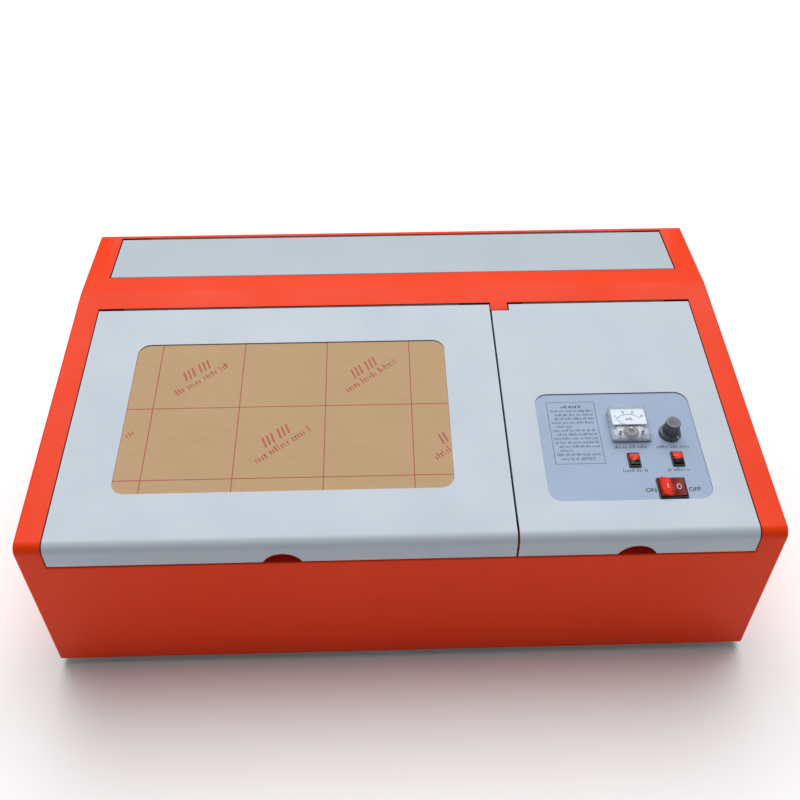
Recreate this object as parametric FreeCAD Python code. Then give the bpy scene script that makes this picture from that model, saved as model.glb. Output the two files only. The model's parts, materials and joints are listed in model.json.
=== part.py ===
import FreeCAD, Part
import math
import os

# Desktop CO2 laser engraver: a bent sheet-metal case with three flush lids, a gantry under the
# windowed lid, a glass laser tube across the rear and the controls in the right-hand lid.
# Millimetres. Origin: centre of the bounding box on the floor; +X right, -Y front, +Z up.
V = FreeCAD.Vector
X_AXIS, Y_AXIS, Z_AXIS = V(1, 0, 0), V(0, 1, 0), V(0, 0, 1)

# ---- driving dimensions ----
CASE_W, CASE_D, CASE_H = 800.0, 500.0, 250.0   # outside of the case, without its feet
FOOT_H = 12.0
FRONT_H = 203.0                  # height at which the sloping top would meet the front face
KINK_Y = 372.0                   # the slope ends and the flat top begins, measured from the front
SHEET = 1.5                      # case sheet
LID_T = 1.2                      # lid sheet
BEND_R = 12.0                    # front bend, outside
EDGE_R = 3.0                     # bends along the sides
LEDGE_Z = 172.5                  # lower edge of the front opening, above the case bottom
LEDGE_DEPTH = 12.0               # the ledge runs in behind the lids' front flange
STRIP_TOP = 200.0                # top of the strip welded upright on the back of the ledge
STRIP_GAP = 0.5                  # between the strip's ends and the borders
FLANGE_Z = 174.0                 # lower edge of the lids' front flange
BORDER = 28.2                    # width of the coloured border left and right of the front lids
LID_REAR = 338.5                 # rear edge of the front lids, from the front
BAND_FRONT, BAND_REAR = 342.5, 403.0
HINGE_Y = 340.2                  # front lids' hinge axis
TUBE_LID_FRONT, TUBE_LID_REAR = 404.2, 491.5
TUBE_HINGE_Y, REAR_STRIP = 493.2, 495.5
HINGE_DEPTH = 1.5                # hinge axes below the top surface
REAR_RECESS = 2.0                # rear flanges stand in from the case's rear edge
DIVIDER_X = 119.0                # seam between the two front lids
SEAM = 2.4
BEAM_Z = 150.0                   # laser beam above the case bottom
BEAM_X = -362.0                  # beam line along the left side
TUBE_Y = 448.0                   # laser tube axis, from the front
HEAD_Y = 290.0                   # beam line across the gantry at rest, from the front
HEAD_X = -270.0                  # head at rest
ROD_X = (-318.0, 72.0)           # gantry guide rods
ROD_Z = 100.0
BELT_X = (-300.0, 54.0)
SHAFT_Y, IDLER_Y, SHAFT_Z = 360.0, 58.0, 72.0

LEFT, RIGHT = -CASE_W / 2, CASE_W / 2
FRONT, REAR = -CASE_D / 2, CASE_D / 2
BASE, TOP = FOOT_H, FOOT_H + CASE_H
SLOPE = math.atan2(CASE_H - FRONT_H, KINK_Y)
FLOOR = BASE + SHEET             # upper face of the base tray


def from_front(distance):
    """Y at a distance behind the front face."""
    return FRONT + distance


def up(height):
    """Z at a height above the case bottom."""
    return BASE + height


def box(x0, x1, y0, y1, z0, z1):
    return Part.makeBox(x1 - x0, y1 - y0, z1 - z0, V(x0, y0, z0))


def rod(centre, axis, radius, length):
    """Cylinder centred on a point."""
    return Part.makeCylinder(radius, length, centre - axis * (length / 2), axis)


def ring(centre, axis, outer, inner, length):
    return rod(centre, axis, outer, length).cut(rod(centre, axis, inner, length + 2))


def cone(centre, axis, r0, r1, length):
    return Part.makeCone(r0, r1, length, centre, axis)


def fuse(shapes):
    """One solid from touching shapes, with the seams between coplanar faces removed."""
    return shapes[0].multiFuse(shapes[1:]).removeSplitter()


def rounded(shape, radius, wanted):
    """Fillets the edges for which wanted(edge) is true."""
    return shape.makeFillet(radius, [e for e in shape.Edges if wanted(e)])


def along(edge, axis):
    """True for a straight edge parallel to the axis."""
    if len(edge.Vertexes) != 2:
        return False
    span = edge.Vertexes[1].Point - edge.Vertexes[0].Point
    return span.Length > 1e-6 and abs(abs(span.dot(axis)) - span.Length) < 1e-6


def slab(x0, x1, y0, y1, z0, z1, corner):
    """Box with rounded vertical corners."""
    return rounded(box(x0, x1, y0, y1, z0, z1), corner, lambda e: along(e, Z_AXIS))


def path_edges(points, radii):
    """Edges of a YZ polyline whose inner corners are rounded to the given radii."""
    edges = []
    start = points[0]
    for before, corner, after, radius in zip(points, points[1:], points[2:], radii):
        if radius <= 0:
            edges.append(Part.LineSegment(start, corner).toShape())
            start = corner
            continue
        a = (before - corner).normalize()
        b = (after - corner).normalize()
        half = a.getAngle(b) / 2
        first = corner + a * (radius / math.tan(half))
        last = corner + b * (radius / math.tan(half))
        middle = corner + (a + b).normalize() * (radius / math.sin(half) - radius)
        edges.append(Part.LineSegment(start, first).toShape())
        edges.append(Part.Arc(first, middle, last).toShape())
        start = last
    edges.append(Part.LineSegment(start, points[-1]).toShape())
    return edges


def extrude_x(edges, x0, x1):
    face = Part.Face(Part.Wire(Part.sortEdges(edges)[0]))
    face.translate(V(x0, 0, 0))
    return face.extrude(V(x1 - x0, 0, 0))


def profile_x(points, radii, x0, x1):
    """Prism along X of a closed YZ outline that starts and ends at a sharp corner."""
    loop = [V(0, y, z) for y, z in points]
    edges = path_edges(loop, radii)
    edges.append(Part.LineSegment(loop[-1], loop[0]).toShape())
    return extrude_x(edges, x0, x1)


def polygon_x(points, x0, x1):
    return profile_x(points, [0] * (len(points) - 2), x0, x1)


def bent_sheet(points, radii, thickness, x0, x1):
    """Bent sheet along X; the points are its left surface, seen along the path."""
    left = [V(0, y, z) for y, z in points]
    normals = []
    for a, b in zip(left, left[1:]):
        d = (b - a).normalize()
        normals.append(V(0, d.z, -d.y))
    right = [left[0] + normals[0] * thickness]
    other_radii = []
    for corner, n0, n1, radius in zip(left[1:], normals, normals[1:], radii):
        right.append(corner + (n0 + n1) * (thickness / (1 + n0.dot(n1))))
        turns_right = n0.cross(n1).x < 0
        other_radii.append(max(radius - thickness, 0) if turns_right else radius + thickness)
    right.append(left[-1] + normals[-1] * thickness)
    edges = path_edges(left, radii) + path_edges(right, other_radii)
    edges.append(Part.LineSegment(left[0], right[0]).toShape())
    edges.append(Part.LineSegment(left[-1], right[-1]).toShape())
    return extrude_x(edges, x0, x1)


def on_slope(shape):
    """Places a shape made in the top's own frame: x, distance up the slope, height off the surface."""
    turn = FreeCAD.Rotation(X_AXIS, math.degrees(SLOPE))
    placed = shape.copy()
    placed.Placement = FreeCAD.Placement(V(0, FRONT, up(FRONT_H)), turn).multiply(shape.Placement)
    return placed


def slope_at(distance):
    """Distance up the slope of a point that is this far behind the front face."""
    return distance / math.cos(SLOPE)


def surface_z(distance):
    """Height of the sloping top's surface."""
    return up(FRONT_H + distance * math.tan(SLOPE))


def export(name, shape):
    solid = shape if shape.ShapeType in ("Solid", "Compound") else Part.Compound([shape])
    if len(solid.Solids) == 1:
        solid = solid.Solids[0]
    if not solid.isValid():
        raise ValueError(name + " is not a valid solid")
    solid.exportStep("parts/" + name + ".step")


# ---- case ----
SLOT_L, SLOT_H = 34.0, 4.0
PORT_X, PORT_Z, PORT_R = -150.0, 67.0, 43.0          # exhaust port in the rear panel
PORT_BOLTS = 82.5                                    # square spacing of the fan bolts
DUCT_X, DUCT_Z = (-290.0, -10.0), (21.0, 113.0)      # exhaust duct, outside
HOSE_X, HOSE_Z, HOSE_HOLE = (130.0, 180.0), 60.0, 7.0
INLET_X, INLET_Z = 320.0, 60.0
USB_Y, USB_Z, USB_HALF = 292.0, 16.6, 7.0           # middle and half width of the USB cut-out
REAR_SCREWS_X = (-340.0, -120.0, 120.0, 340.0)
REAR_SIDE_X, REAR_SIDE_Z = 391.0, (60.0, 170.0)
SCREW_R, SCREW_HOLE = 1.9, 2.05
TRAY_H = 20.0                                        # height of the base tray's rim
TRAY_GAP = 0.1                                       # what stands on the tray clears it by this
WALL_Y, WALL_FLANGE = 384.0, 14.0                    # wall in front of the tube bay, from the front
WIRE_HOLE_X = 250.0
FOOT_X, FOOT_Y, FOOT_R = 360.0, 215.0, 15.0


def case_block(inset, side_radius, front, rear, bottom, x_half):
    """The case's outline as a solid, drawn in by the sheet thickness for its hollow."""
    drop = inset / math.cos(SLOPE)
    outline = [
        (rear, bottom),
        (front, bottom),
        (front, surface_z(inset) - drop),
        (from_front(KINK_Y), TOP - inset),
        (rear, TOP - inset),
    ]
    block = profile_x(outline, [0, BEND_R - inset, 40 - inset], -x_half, x_half)
    side_edges = [
        e for e in block.Edges
        if abs(abs(e.BoundBox.XMin) - x_half) < 1e-6
        and e.BoundBox.XLength < 1e-6
        and e.BoundBox.ZMax > bottom + 1
        and not (along(e, Z_AXIS) and e.BoundBox.YMin > rear - 1)
    ]
    return block.makeFillet(side_radius, side_edges)


def usb_cut(x1, z1):
    """Way out for the USB socket, through the case's right side."""
    y = from_front(USB_Y)
    return box(RIGHT - 5, x1, y - USB_HALF, y + USB_HALF, up(USB_Z) - USB_HALF, z1)


def side_slots():
    """Two columns of cooling slots beside the electronics."""
    slots = []
    for y in (90.0, 140.0):
        for row in range(9):
            z = up(70 + 9 * row)
            slots.append(box(RIGHT - 5, RIGHT + 5, from_front(y), from_front(y) + SLOT_L, z, z + SLOT_H))
    return slots


def rear_screw_points():
    """Centres of the screws that hold the rear panel to the case's rear flanges."""
    top = [(x, TOP - 20) for x in REAR_SCREWS_X]
    sides = [(side * REAR_SIDE_X, up(z)) for side in (-1, 1) for z in REAR_SIDE_Z]
    return top + sides


def case_shell():
    """Bent case, and the separate strip that stands on the ledge behind the lids' flange."""
    outer = case_block(0, EDGE_R, FRONT, REAR, BASE, CASE_W / 2)
    hollow_rear = REAR - REAR_RECESS - SHEET
    inner = case_block(SHEET, EDGE_R - SHEET, FRONT + SHEET, hollow_rear, BASE - 5, CASE_W / 2 - SHEET)
    shell = outer.cut(inner)
    inside = CASE_W / 2 - SHEET
    cuts = [
        box(-inside, inside, REAR - REAR_RECESS, REAR + 1, BASE - 1, TOP - SHEET),
        box(-inside + 14, inside - 14, hollow_rear - 1, REAR, BASE - 1, TOP - 26),
        box(LEFT + BORDER, RIGHT - BORDER, FRONT - 1, from_front(BAND_FRONT), up(160), TOP + 1),
        box(LEFT + 30.5, RIGHT - 30.5, from_front(BAND_REAR), from_front(REAR_STRIP), TOP - 5, TOP + 1),
    ]
    cuts.append(usb_cut(RIGHT + 5, up(USB_Z) + USB_HALF))
    cuts += side_slots()
    cuts += [rod(V(x, REAR - 3, z), Y_AXIS, SCREW_HOLE, 8) for x, z in rear_screw_points()]
    shell = shell.cut(cuts)
    strip_y = FRONT + LEDGE_DEPTH
    ledge = bent_sheet(
        [(FRONT, up(160)), (FRONT, up(LEDGE_Z)), (strip_y + SHEET, up(LEDGE_Z))],
        [3], SHEET, LEFT + BORDER, RIGHT - BORDER)
    strip = box(LEFT + BORDER + STRIP_GAP, RIGHT - BORDER - STRIP_GAP, strip_y, strip_y + SHEET,
                up(LEDGE_Z), up(STRIP_TOP))
    tab = box(119.2, 140.6, slope_at(329.5), slope_at(BAND_FRONT) + 4, -SHEET, 0)
    return Part.Compound([fuse([shell, ledge, on_slope(tab)]), strip])


def base_tray():
    x1, y0, y1 = CASE_W / 2 - SHEET - 0.2, FRONT + SHEET + 0.2, REAR - REAR_RECESS - 2 * SHEET - 0.2
    tray = rounded(box(-x1, x1, y0, y1, BASE, up(TRAY_H)), 2, lambda e: along(e, Z_AXIS))
    tray = tray.cut(box(-x1 + SHEET, x1 - SHEET, y0 + SHEET, y1 - SHEET, FLOOR, up(TRAY_H + 1)))
    cuts = [rod(V(x, y, BASE), Z_AXIS, SCREW_HOLE, 10) for x, y in foot_points()]
    cuts.append(usb_cut(RIGHT, up(TRAY_H + 1)))
    for column in range(2):
        for row in range(8):
            x, y = 165 + 60 * column, from_front(250 + 9 * row)
            cuts.append(box(x, x + 40, y, y + SLOT_H, BASE - 1, FLOOR + 1))
    return tray.cut(cuts)


def foot_points():
    return [(sx * FOOT_X, sy * FOOT_Y) for sx in (-1, 1) for sy in (-1, 1)]


def rear_panel():
    y1 = REAR - REAR_RECESS - SHEET
    x1 = CASE_W / 2 - SHEET - 0.3
    panel = box(-x1, x1, y1 - SHEET, y1, up(2), TOP - 15.5)
    half = PORT_BOLTS / 2
    cuts = [rod(V(PORT_X, y1, up(PORT_Z)), Y_AXIS, PORT_R, 10)]
    cuts += [rod(V(PORT_X + sx * half, y1, up(PORT_Z) + sz * half), Y_AXIS, 2.25, 10)
             for sx in (-1, 1) for sz in (-1, 1)]
    cuts += [rod(V(x, y1, up(HOSE_Z)), Y_AXIS, HOSE_HOLE, 10) for x in HOSE_X]
    cuts.append(box(INLET_X - 13.6, INLET_X + 13.6, y1 - 5, y1 + 5, up(INLET_Z) - 10.1, up(INLET_Z) + 10.1))
    cuts += [rod(V(x, y1, z), Y_AXIS, SCREW_HOLE, 10) for x, z in rear_screw_points()]
    for column in range(5):
        for row in range(5):
            x, z = 150 + 44 * column, up(120 + 9 * row)
            cuts.append(box(x, x + SLOT_L, y1 - 5, y1 + 5, z, z + SLOT_H))
    return panel.cut(cuts)


def bay_divider():
    """Wall between the working space and the electronics, under the seam of the front lids."""
    y0, y1 = 14.2, 383.8
    x0 = DIVIDER_X - SHEET / 2
    outline = [
        (from_front(y0), FLOOR + TRAY_GAP), (from_front(y1), FLOOR + TRAY_GAP),
        (from_front(y1), TOP - 12), (from_front(KINK_Y), TOP - 12),
        (from_front(y0), surface_z(y0) - 12),
    ]
    low = FLOOR + TRAY_GAP
    foot = box(x0, x0 + 14, from_front(y0 + 6), from_front(y1 - 6), low, low + SHEET)
    wall = fuse([polygon_x(outline, x0, x0 + SHEET), foot])
    return wall.cut(rod(V(DIVIDER_X, from_front(350), up(150)), X_AXIS, 14, 20))


def duct_hollow(y0, y1):
    return box(DUCT_X[0] + LID_T, DUCT_X[1] - LID_T, y0, y1, up(DUCT_Z[0] + LID_T), up(DUCT_Z[1] - LID_T))


def tube_bay_wall():
    """Wall between the working space and the laser tube, with a top and a bottom flange."""
    inside = CASE_W / 2 - SHEET - 0.3
    y0, top = from_front(WALL_Y), TOP - SHEET - 0.2
    flange, face = y0 + WALL_FLANGE, y0 + SHEET
    low, high = FLOOR + TRAY_GAP + SHEET, top - SHEET
    sheet = bent_sheet(
        [(flange, low), (face, low), (face, high), (flange, high)],
        [0.5, 0.5], -SHEET, -inside, inside)
    cuts = [
        rod(V(BEAM_X, y0, up(BEAM_Z)), Y_AXIS, 11, 10),
        duct_hollow(y0 - 5, y0 + 5),
        rod(V(WIRE_HOLE_X, y0, up(90)), Y_AXIS, 12, 10),
    ]
    for side in (-1, 1):
        corner = sorted((side * (inside - 2), side * (inside + 1)))
        cuts.append(box(corner[0], corner[1], y0 - 1, y0 + 20, FLOOR - 1, up(TRAY_H) + 0.5))
        cuts.append(box(corner[0], corner[1], y0 - 1, y0 + 20, top - 2, top + 1))
    return sheet.cut(cuts)


def exhaust_duct():
    """Flat duct that leads the fumes under the laser tube to the rear port."""
    y0, y1 = from_front(WALL_Y) + SHEET, REAR - REAR_RECESS - 2 * SHEET
    tube = box(DUCT_X[0], DUCT_X[1], y0, y1, up(DUCT_Z[0]), up(DUCT_Z[1]))
    return tube.cut(duct_hollow(y0 - 1, y1 + 1))


def rubber_feet():
    feet = []
    for x, y in foot_points():
        foot = cone(V(x, y, 0), Z_AXIS, FOOT_R - 2, FOOT_R, FOOT_H)
        well = Part.makeCylinder(5, 11, V(x, y, -1))
        feet.append(foot.cut([well, Part.makeCylinder(SCREW_HOLE, 20, V(x, y, 0))]))
    return Part.Compound(feet)


def pan_head_screw(point, axis, shank_r, length, head_r, head_h):
    """Cross-recess screw; the point is under the head and the axis leaves through the head."""
    head = Part.makeCylinder(head_r, head_h, point, axis)
    head = rounded(head, head_h * 0.45, lambda e: (e.CenterOfMass - point).dot(axis) > head_h * 0.9)
    side = Y_AXIS if abs(axis.x) > 0.5 else X_AXIS
    across = axis.cross(side)
    depth = head_h * 0.5
    slots = []
    for a, b in ((side, across), (across, side)):
        long, wide = a * (head_r * 1.1), b * (head_r * 0.24)
        corner = point + axis * (head_h - depth) - long / 2 - wide / 2
        wire = Part.makePolygon([corner, corner + long, corner + long + wide, corner + wide, corner])
        slots.append(Part.Face(wire).extrude(axis * head_h))
    return fuse([head, Part.makeCylinder(shank_r, length, point, axis * -1)]).cut(slots)


def case_screws():
    """Rear panel screws, and the screws up through the feet."""
    flange_face = REAR - REAR_RECESS
    rear = [
        pan_head_screw(V(x, flange_face, z), Y_AXIS, SCREW_R, 7, 3.6, 1.8)
        for x, z in rear_screw_points()
    ]
    feet = [
        pan_head_screw(V(x, y, 10), Z_AXIS * -1, SCREW_R, 8, 4.4, 2.6)
        for x, y in foot_points()
    ]
    return Part.Compound(rear + feet)


def hose_grommets():
    y = REAR - REAR_RECESS - SHEET - SHEET / 2
    grommets = []
    for x in HOSE_X:
        body = rod(V(x, y, up(HOSE_Z)), Y_AXIS, HOSE_HOLE + 3, SHEET + 3.6)
        groove = ring(V(x, y, up(HOSE_Z)), Y_AXIS, HOSE_HOLE + 5, HOSE_HOLE, SHEET)
        grommets.append(body.cut([groove, rod(V(x, y, up(HOSE_Z)), Y_AXIS, 5, 20)]))
    return Part.Compound(grommets)


def mains_inlet():
    """Three-pin appliance inlet, its flange on the rear panel's outside face."""
    face = REAR - REAR_RECESS - SHEET
    z = up(INLET_Z)
    flange = box(INLET_X - 24, INLET_X + 24, face, face + 1.8, z - 12, z + 12)
    flange = rounded(flange, 5, lambda e: along(e, Y_AXIS))
    body = box(INLET_X - 13.4, INLET_X + 13.4, face - 20, face + 0.5, z - 9.9, z + 9.9)
    socket = box(INLET_X - 12, INLET_X + 12, face - 16, face + 5, z - 8, z + 8)
    socket = socket.makeChamfer(4, [e for e in socket.Edges if along(e, Y_AXIS) and e.CenterOfMass.z > z])
    pins = [box(INLET_X + dx - 1, INLET_X + dx + 1, face - 17, face - 2, z + dz - 2, z + dz + 2)
            for dx, dz in ((-7, -1), (0, 3), (7, -1))]
    return fuse([fuse([flange, body]).cut(socket)] + pins)


# ---- hinges ----
KNUCKLE_R, PIN_R, KNUCKLE_BORE = 1.5, 0.7, 0.75
LEAF_T, LEAF_W, KNUCKLE_L = 1.0, 13.0, 30.0


def hinge(x0, x1, fixed, vertical_leaf=False):
    """Half of a piano hinge about the X axis, its leaf under the sheet beside it."""
    count = int(round((x1 - x0) / KNUCKLE_L))
    length = (x1 - x0) / count
    leaf_top = HINGE_DEPTH - (SHEET if fixed else LID_T)
    side = 1 if fixed else -1
    near, far = 1.9, LEAF_W
    shapes = []
    if vertical_leaf:
        wall = REAR_STRIP - TUBE_HINGE_Y
        shapes.append(box(x0, x1, wall, wall + LEAF_T, leaf_top - 12, leaf_top))
        far = wall + LEAF_T
    ys = sorted((side * near, side * far))
    shapes.append(box(x0, x1, ys[0], ys[1], leaf_top - LEAF_T, leaf_top))
    for index in range(count):
        if (index % 2 == 0) != fixed:
            continue
        a, b = x0 + index * length + 0.15, x0 + (index + 1) * length - 0.15
        shapes.append(Part.makeCylinder(KNUCKLE_R, b - a, V(a, 0, 0), X_AXIS))
        ys = sorted((0, side * (near + 0.5)))
        shapes.append(box(a, b, ys[0], ys[1], leaf_top - LEAF_T, leaf_top))
    bore = Part.makeCylinder(KNUCKLE_BORE, x1 - x0 + 2, V(x0 - 1, 0, 0), X_AXIS)
    return fuse(shapes).cut(bore)


def at_front_hinge(shape):
    placed = shape.copy()
    placed.translate(V(0, slope_at(HINGE_Y), -HINGE_DEPTH))
    return on_slope(placed)


def at_tube_hinge(shape):
    placed = shape.copy()
    placed.translate(V(0, from_front(TUBE_HINGE_Y), TOP - HINGE_DEPTH))
    return placed


WORK_HINGE, CONTROL_HINGE, TUBE_HINGE = (-340.0, 80.0), (160.0, 340.0), (-330.0, 330.0)


def fixed_hinge(x0, x1, vertical_leaf=False):
    """Hinge half on the case, with the pin in its knuckles."""
    pin = Part.makeCylinder(PIN_R, x1 - x0, V(x0, 0, 0), X_AXIS)
    return Part.Compound([hinge(x0, x1, True, vertical_leaf), pin])


def hinge_bases():
    """The three hinge halves on the case, with their pins."""
    return Part.Compound([
        at_front_hinge(fixed_hinge(*WORK_HINGE)),
        at_front_hinge(fixed_hinge(*CONTROL_HINGE)),
        at_tube_hinge(fixed_hinge(*TUBE_HINGE, True)),
    ])


def work_hinge_leaf():
    return at_front_hinge(hinge(*WORK_HINGE, False))


def control_hinge_leaf():
    return at_front_hinge(hinge(*CONTROL_HINGE, False))


def tube_hinge_leaf():
    return at_tube_hinge(hinge(*TUBE_HINGE, False))


# ---- lids ----
LID_LEFT, LID_RIGHT = LEFT + BORDER + 1.5, RIGHT - BORDER - 1.5
SEAM_L, SEAM_R = DIVIDER_X - SEAM / 2, DIVIDER_X + SEAM / 2
LID_HEM = 9.0
NOTCH_W, NOTCH_H = 41.0, 13.0
WINDOW = (-311.0, 57.0, 65.0, 280.0)           # x from, to; y from, to behind the front
PANEL = (156.0, 333.0, 44.0, 191.0)
CUT_R = 15.0
LIP_MARGIN, PANEL_MARGIN = 14.0, 10.0


def front_lid(x0, x1):
    """Bent lid: sloping top, rounded front bend and a front flange with a finger notch."""
    points = [(FRONT, up(FLANGE_Z)), (FRONT, up(FRONT_H)), (from_front(LID_REAR), surface_z(LID_REAR))]
    lid = bent_sheet(points, [BEND_R], LID_T, x0, x1)
    hems = [on_slope(box(x, x + LID_T, 24, 318, -LID_HEM, -0.4)) for x in (x0, x1 - LID_T)]
    radius = (NOTCH_W ** 2 / 4 + NOTCH_H ** 2) / (2 * NOTCH_H)
    notch = rod(V((x0 + x1) / 2, FRONT, up(FLANGE_Z + NOTCH_H) - radius), Y_AXIS, radius, 20)
    return fuse([lid] + hems).cut(notch)


def opening(area, margin, w0, w1, corner):
    """Rounded rectangle on the slope, as a slab between two heights off the surface."""
    x0, x1, y0, y1 = area
    v0, v1 = slope_at(y0) - margin, slope_at(y1) + margin
    return on_slope(slab(x0 - margin, x1 + margin, v0, v1, w0, w1, corner))


def work_lid():
    return front_lid(LID_LEFT, SEAM_L).cut(opening(WINDOW, 0, -5, 5, CUT_R))


def control_lid():
    notch = on_slope(box(SEAM_R - 2, 142.2, slope_at(328), slope_at(350), -5, 5))
    return front_lid(SEAM_R, LID_RIGHT).cut([opening(PANEL, 0, -5, 5, CUT_R), notch])


PAPER_T, ACRYLIC_T = 0.25, 3.0


def masking_paper():
    return opening(WINDOW, LIP_MARGIN, -LID_T - PAPER_T, -LID_T, 4)


def window_acrylic():
    return opening(WINDOW, LIP_MARGIN, -LID_T - PAPER_T - ACRYLIC_T, -LID_T - PAPER_T, 4)


def tube_lid():
    x0, x1 = LEFT + 32, RIGHT - 32
    y0, y1 = from_front(TUBE_LID_FRONT), from_front(TUBE_LID_REAR)
    lid = box(x0, x1, y0, y1, TOP - LID_T, TOP)
    hem_z = TOP - LID_HEM
    hems = [
        box(x0, x1, y0, y0 + LID_T, hem_z, TOP - 0.4),
        box(x0, x0 + LID_T, y0, y1 - 20, hem_z, TOP - 0.4),
        box(x1 - LID_T, x1, y0, y1 - 20, hem_z, TOP - 0.4),
    ]
    lid = fuse([lid] + hems)
    return rounded(lid, 0.8, lambda e: abs(e.BoundBox.ZMin - TOP) < 1e-6)


# ---- control panel: positions as x and distance up the slope ----
PLATE = -LID_T                                  # panel surface, below the lid's surface
PANEL_T = 1.5
METER = (258.0, slope_at(143.0))
METER_SIDE, METER_H, METER_BASE_H = 44.0, 13.0, 2.5
METER_BARREL, COIL_R, COIL_SEAT = 19.0, 8.7, 4.4
KNOB = (302.5, slope_at(132.0))
LASER_SW = (255.5, slope_at(96.0))
TEST_SW = (303.5, slope_at(96.3))
MAIN_SW = (289.5, slope_at(58.5))
SMALL_SW = (13.5, 19.0)                         # bezel width and length
BIG_SW = (31.0, 26.0)
BEZEL_H, BEZEL_RIM, ROCKER_GAP = 2.0, 1.5, 0.3
NUT_POINTS = [
    (x, y)
    for x in (PANEL[0] - 5, PANEL[1] + 5)
    for y in (slope_at(PANEL[2]) - 5, slope_at(PANEL[3]) + 5)
]


def hole(centre, width, length):
    x, y = centre[0], centre[1]
    return box(x - width / 2, x + width / 2, y - length / 2, y + length / 2, PLATE - 10, PLATE + 5)


def control_panel():
    x0, x1, y0, y1 = PANEL
    v0, v1 = slope_at(y0) - PANEL_MARGIN, slope_at(y1) + PANEL_MARGIN
    plate = slab(x0 - PANEL_MARGIN, x1 + PANEL_MARGIN, v0, v1, PLATE - PANEL_T, PLATE, 5)
    cuts = [
        Part.makeCylinder(METER_BARREL + 0.2, 20, V(METER[0], METER[1], PLATE - 10)),
        Part.makeCylinder(3.6, 20, V(KNOB[0], KNOB[1], PLATE - 10)),
        hole(LASER_SW, SMALL_SW[0] - 1.6, SMALL_SW[1] - 1.6),
        hole(TEST_SW, SMALL_SW[0] - 1.6, SMALL_SW[1] - 1.6),
        hole(MAIN_SW, BIG_SW[0] - 1.6, BIG_SW[1] - 1.6),
    ]
    cuts += [Part.makeCylinder(1.6, 20, V(x, y, PLATE - 10)) for x, y in NUT_POINTS]
    return on_slope(plate.cut(cuts))


def hex_prism(x, y, z, across, height):
    points = [V(x + across / math.sqrt(3) * math.cos(math.radians(60 * k)),
                y + across / math.sqrt(3) * math.sin(math.radians(60 * k)), z) for k in range(7)]
    return Part.Face(Part.makePolygon(points)).extrude(V(0, 0, height))


def panel_nuts():
    """Weld studs under the lid with the nuts that clamp the panel."""
    under = PLATE - PANEL_T
    nuts = []
    for x, y in NUT_POINTS:
        stud = Part.makeCylinder(1.5, 7, V(x, y, PLATE - 7))
        nuts.append(fuse([stud, hex_prism(x, y, under - 2.4, 5.5, 2.4)]))
    return on_slope(Part.Compound(nuts))


def meter_slab(half, z0, z1, corner):
    """Square slab about the meter's middle."""
    x, y = METER
    return slab(x - half, x + half, y - half, y + half, z0, z1, corner)


def meter_base():
    x, y = METER
    plate = meter_slab(METER_SIDE / 2, PLATE, PLATE + METER_BASE_H, 2.5)
    barrel = Part.makeCylinder(METER_BARREL, 22, V(x, y, PLATE - 22))
    studs = [Part.makeCylinder(1.5, 8, V(x + dx, y, PLATE - 30)) for dx in (-9, 9)]
    block = slab(x - 15, x + 15, y - 19, y - 3, PLATE + 2, PLATE + COIL_SEAT, 2)
    return on_slope(fuse([plate, barrel, block] + studs))


def meter_cover():
    """Clear moulded cover, open underneath."""
    top, wall = PLATE + METER_H, 1.4
    outer = meter_slab(METER_SIDE / 2, PLATE + METER_BASE_H, top, 2.5)
    outer = rounded(outer, 1.2, lambda e: abs(e.BoundBox.ZMin - top) < 1e-6)
    inner = meter_slab(METER_SIDE / 2 - wall, PLATE + 2, top - wall, 1.5)
    return on_slope(outer.cut(inner))


def meter_dial():
    """White scale card in the upper part of the meter, on two posts."""
    x, y = METER
    card = slab(x - 19.5, x + 19.5, y - 2.5, y + 19.5, PLATE + 6.5, PLATE + 7, 1)
    posts = [Part.makeCylinder(1.4, 4, V(x + dx, y + 14, PLATE + METER_BASE_H)) for dx in (-16, 16)]
    return on_slope(fuse([card] + posts))


def meter_coil():
    """Moving-coil magnet behind the needle: a low dome with winding ridges, and two screws."""
    x, y = METER
    centre = V(x, y - 11.5, PLATE + COIL_SEAT)
    dome = Part.makeCone(COIL_R, COIL_R - 2.5, 3, centre)
    ridges = [
        ring(centre + Z_AXIS * (0.6 + 0.8 * k), Z_AXIS, COIL_R - 0.66 * k, 5, 0.35)
        for k in range(3)
    ]
    screws = [Part.makeCylinder(1.7, 1.2, V(x + dx, y - 14, PLATE + COIL_SEAT)) for dx in (-12.5, 12.5)]
    return on_slope(Part.Compound([fuse([dome] + ridges)] + screws))


NEEDLE_PIVOT = (METER[0], METER[1] - 9.0)
NEEDLE_REST = math.radians(135)


def meter_needle():
    x, y = NEEDLE_PIVOT
    z = PLATE + 8.2
    hub = Part.makeCylinder(2.2, 1.6, V(x, y, z - 0.6))
    arm = box(0, 21, -0.25, 0.25, 0, 0.4)
    tail = box(-5, 0, -0.6, 0.6, 0, 0.4)
    pointer = fuse([arm, tail])
    pointer.rotate(V(0, 0, 0), Z_AXIS, math.degrees(NEEDLE_REST))
    pointer.translate(V(x, y, z))
    return on_slope(fuse([hub, pointer]))


KNOB_R, SKIRT_R, KNOB_H, SKIRT_H = 8.0, 12.5, 20.0, 3.4
FLUTES, FLUTE_R, FLUTE_END = 18, 1.0, 1.4       # flutes stop short of the skirt and of the top
SHAFT_R = 3.0


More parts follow.
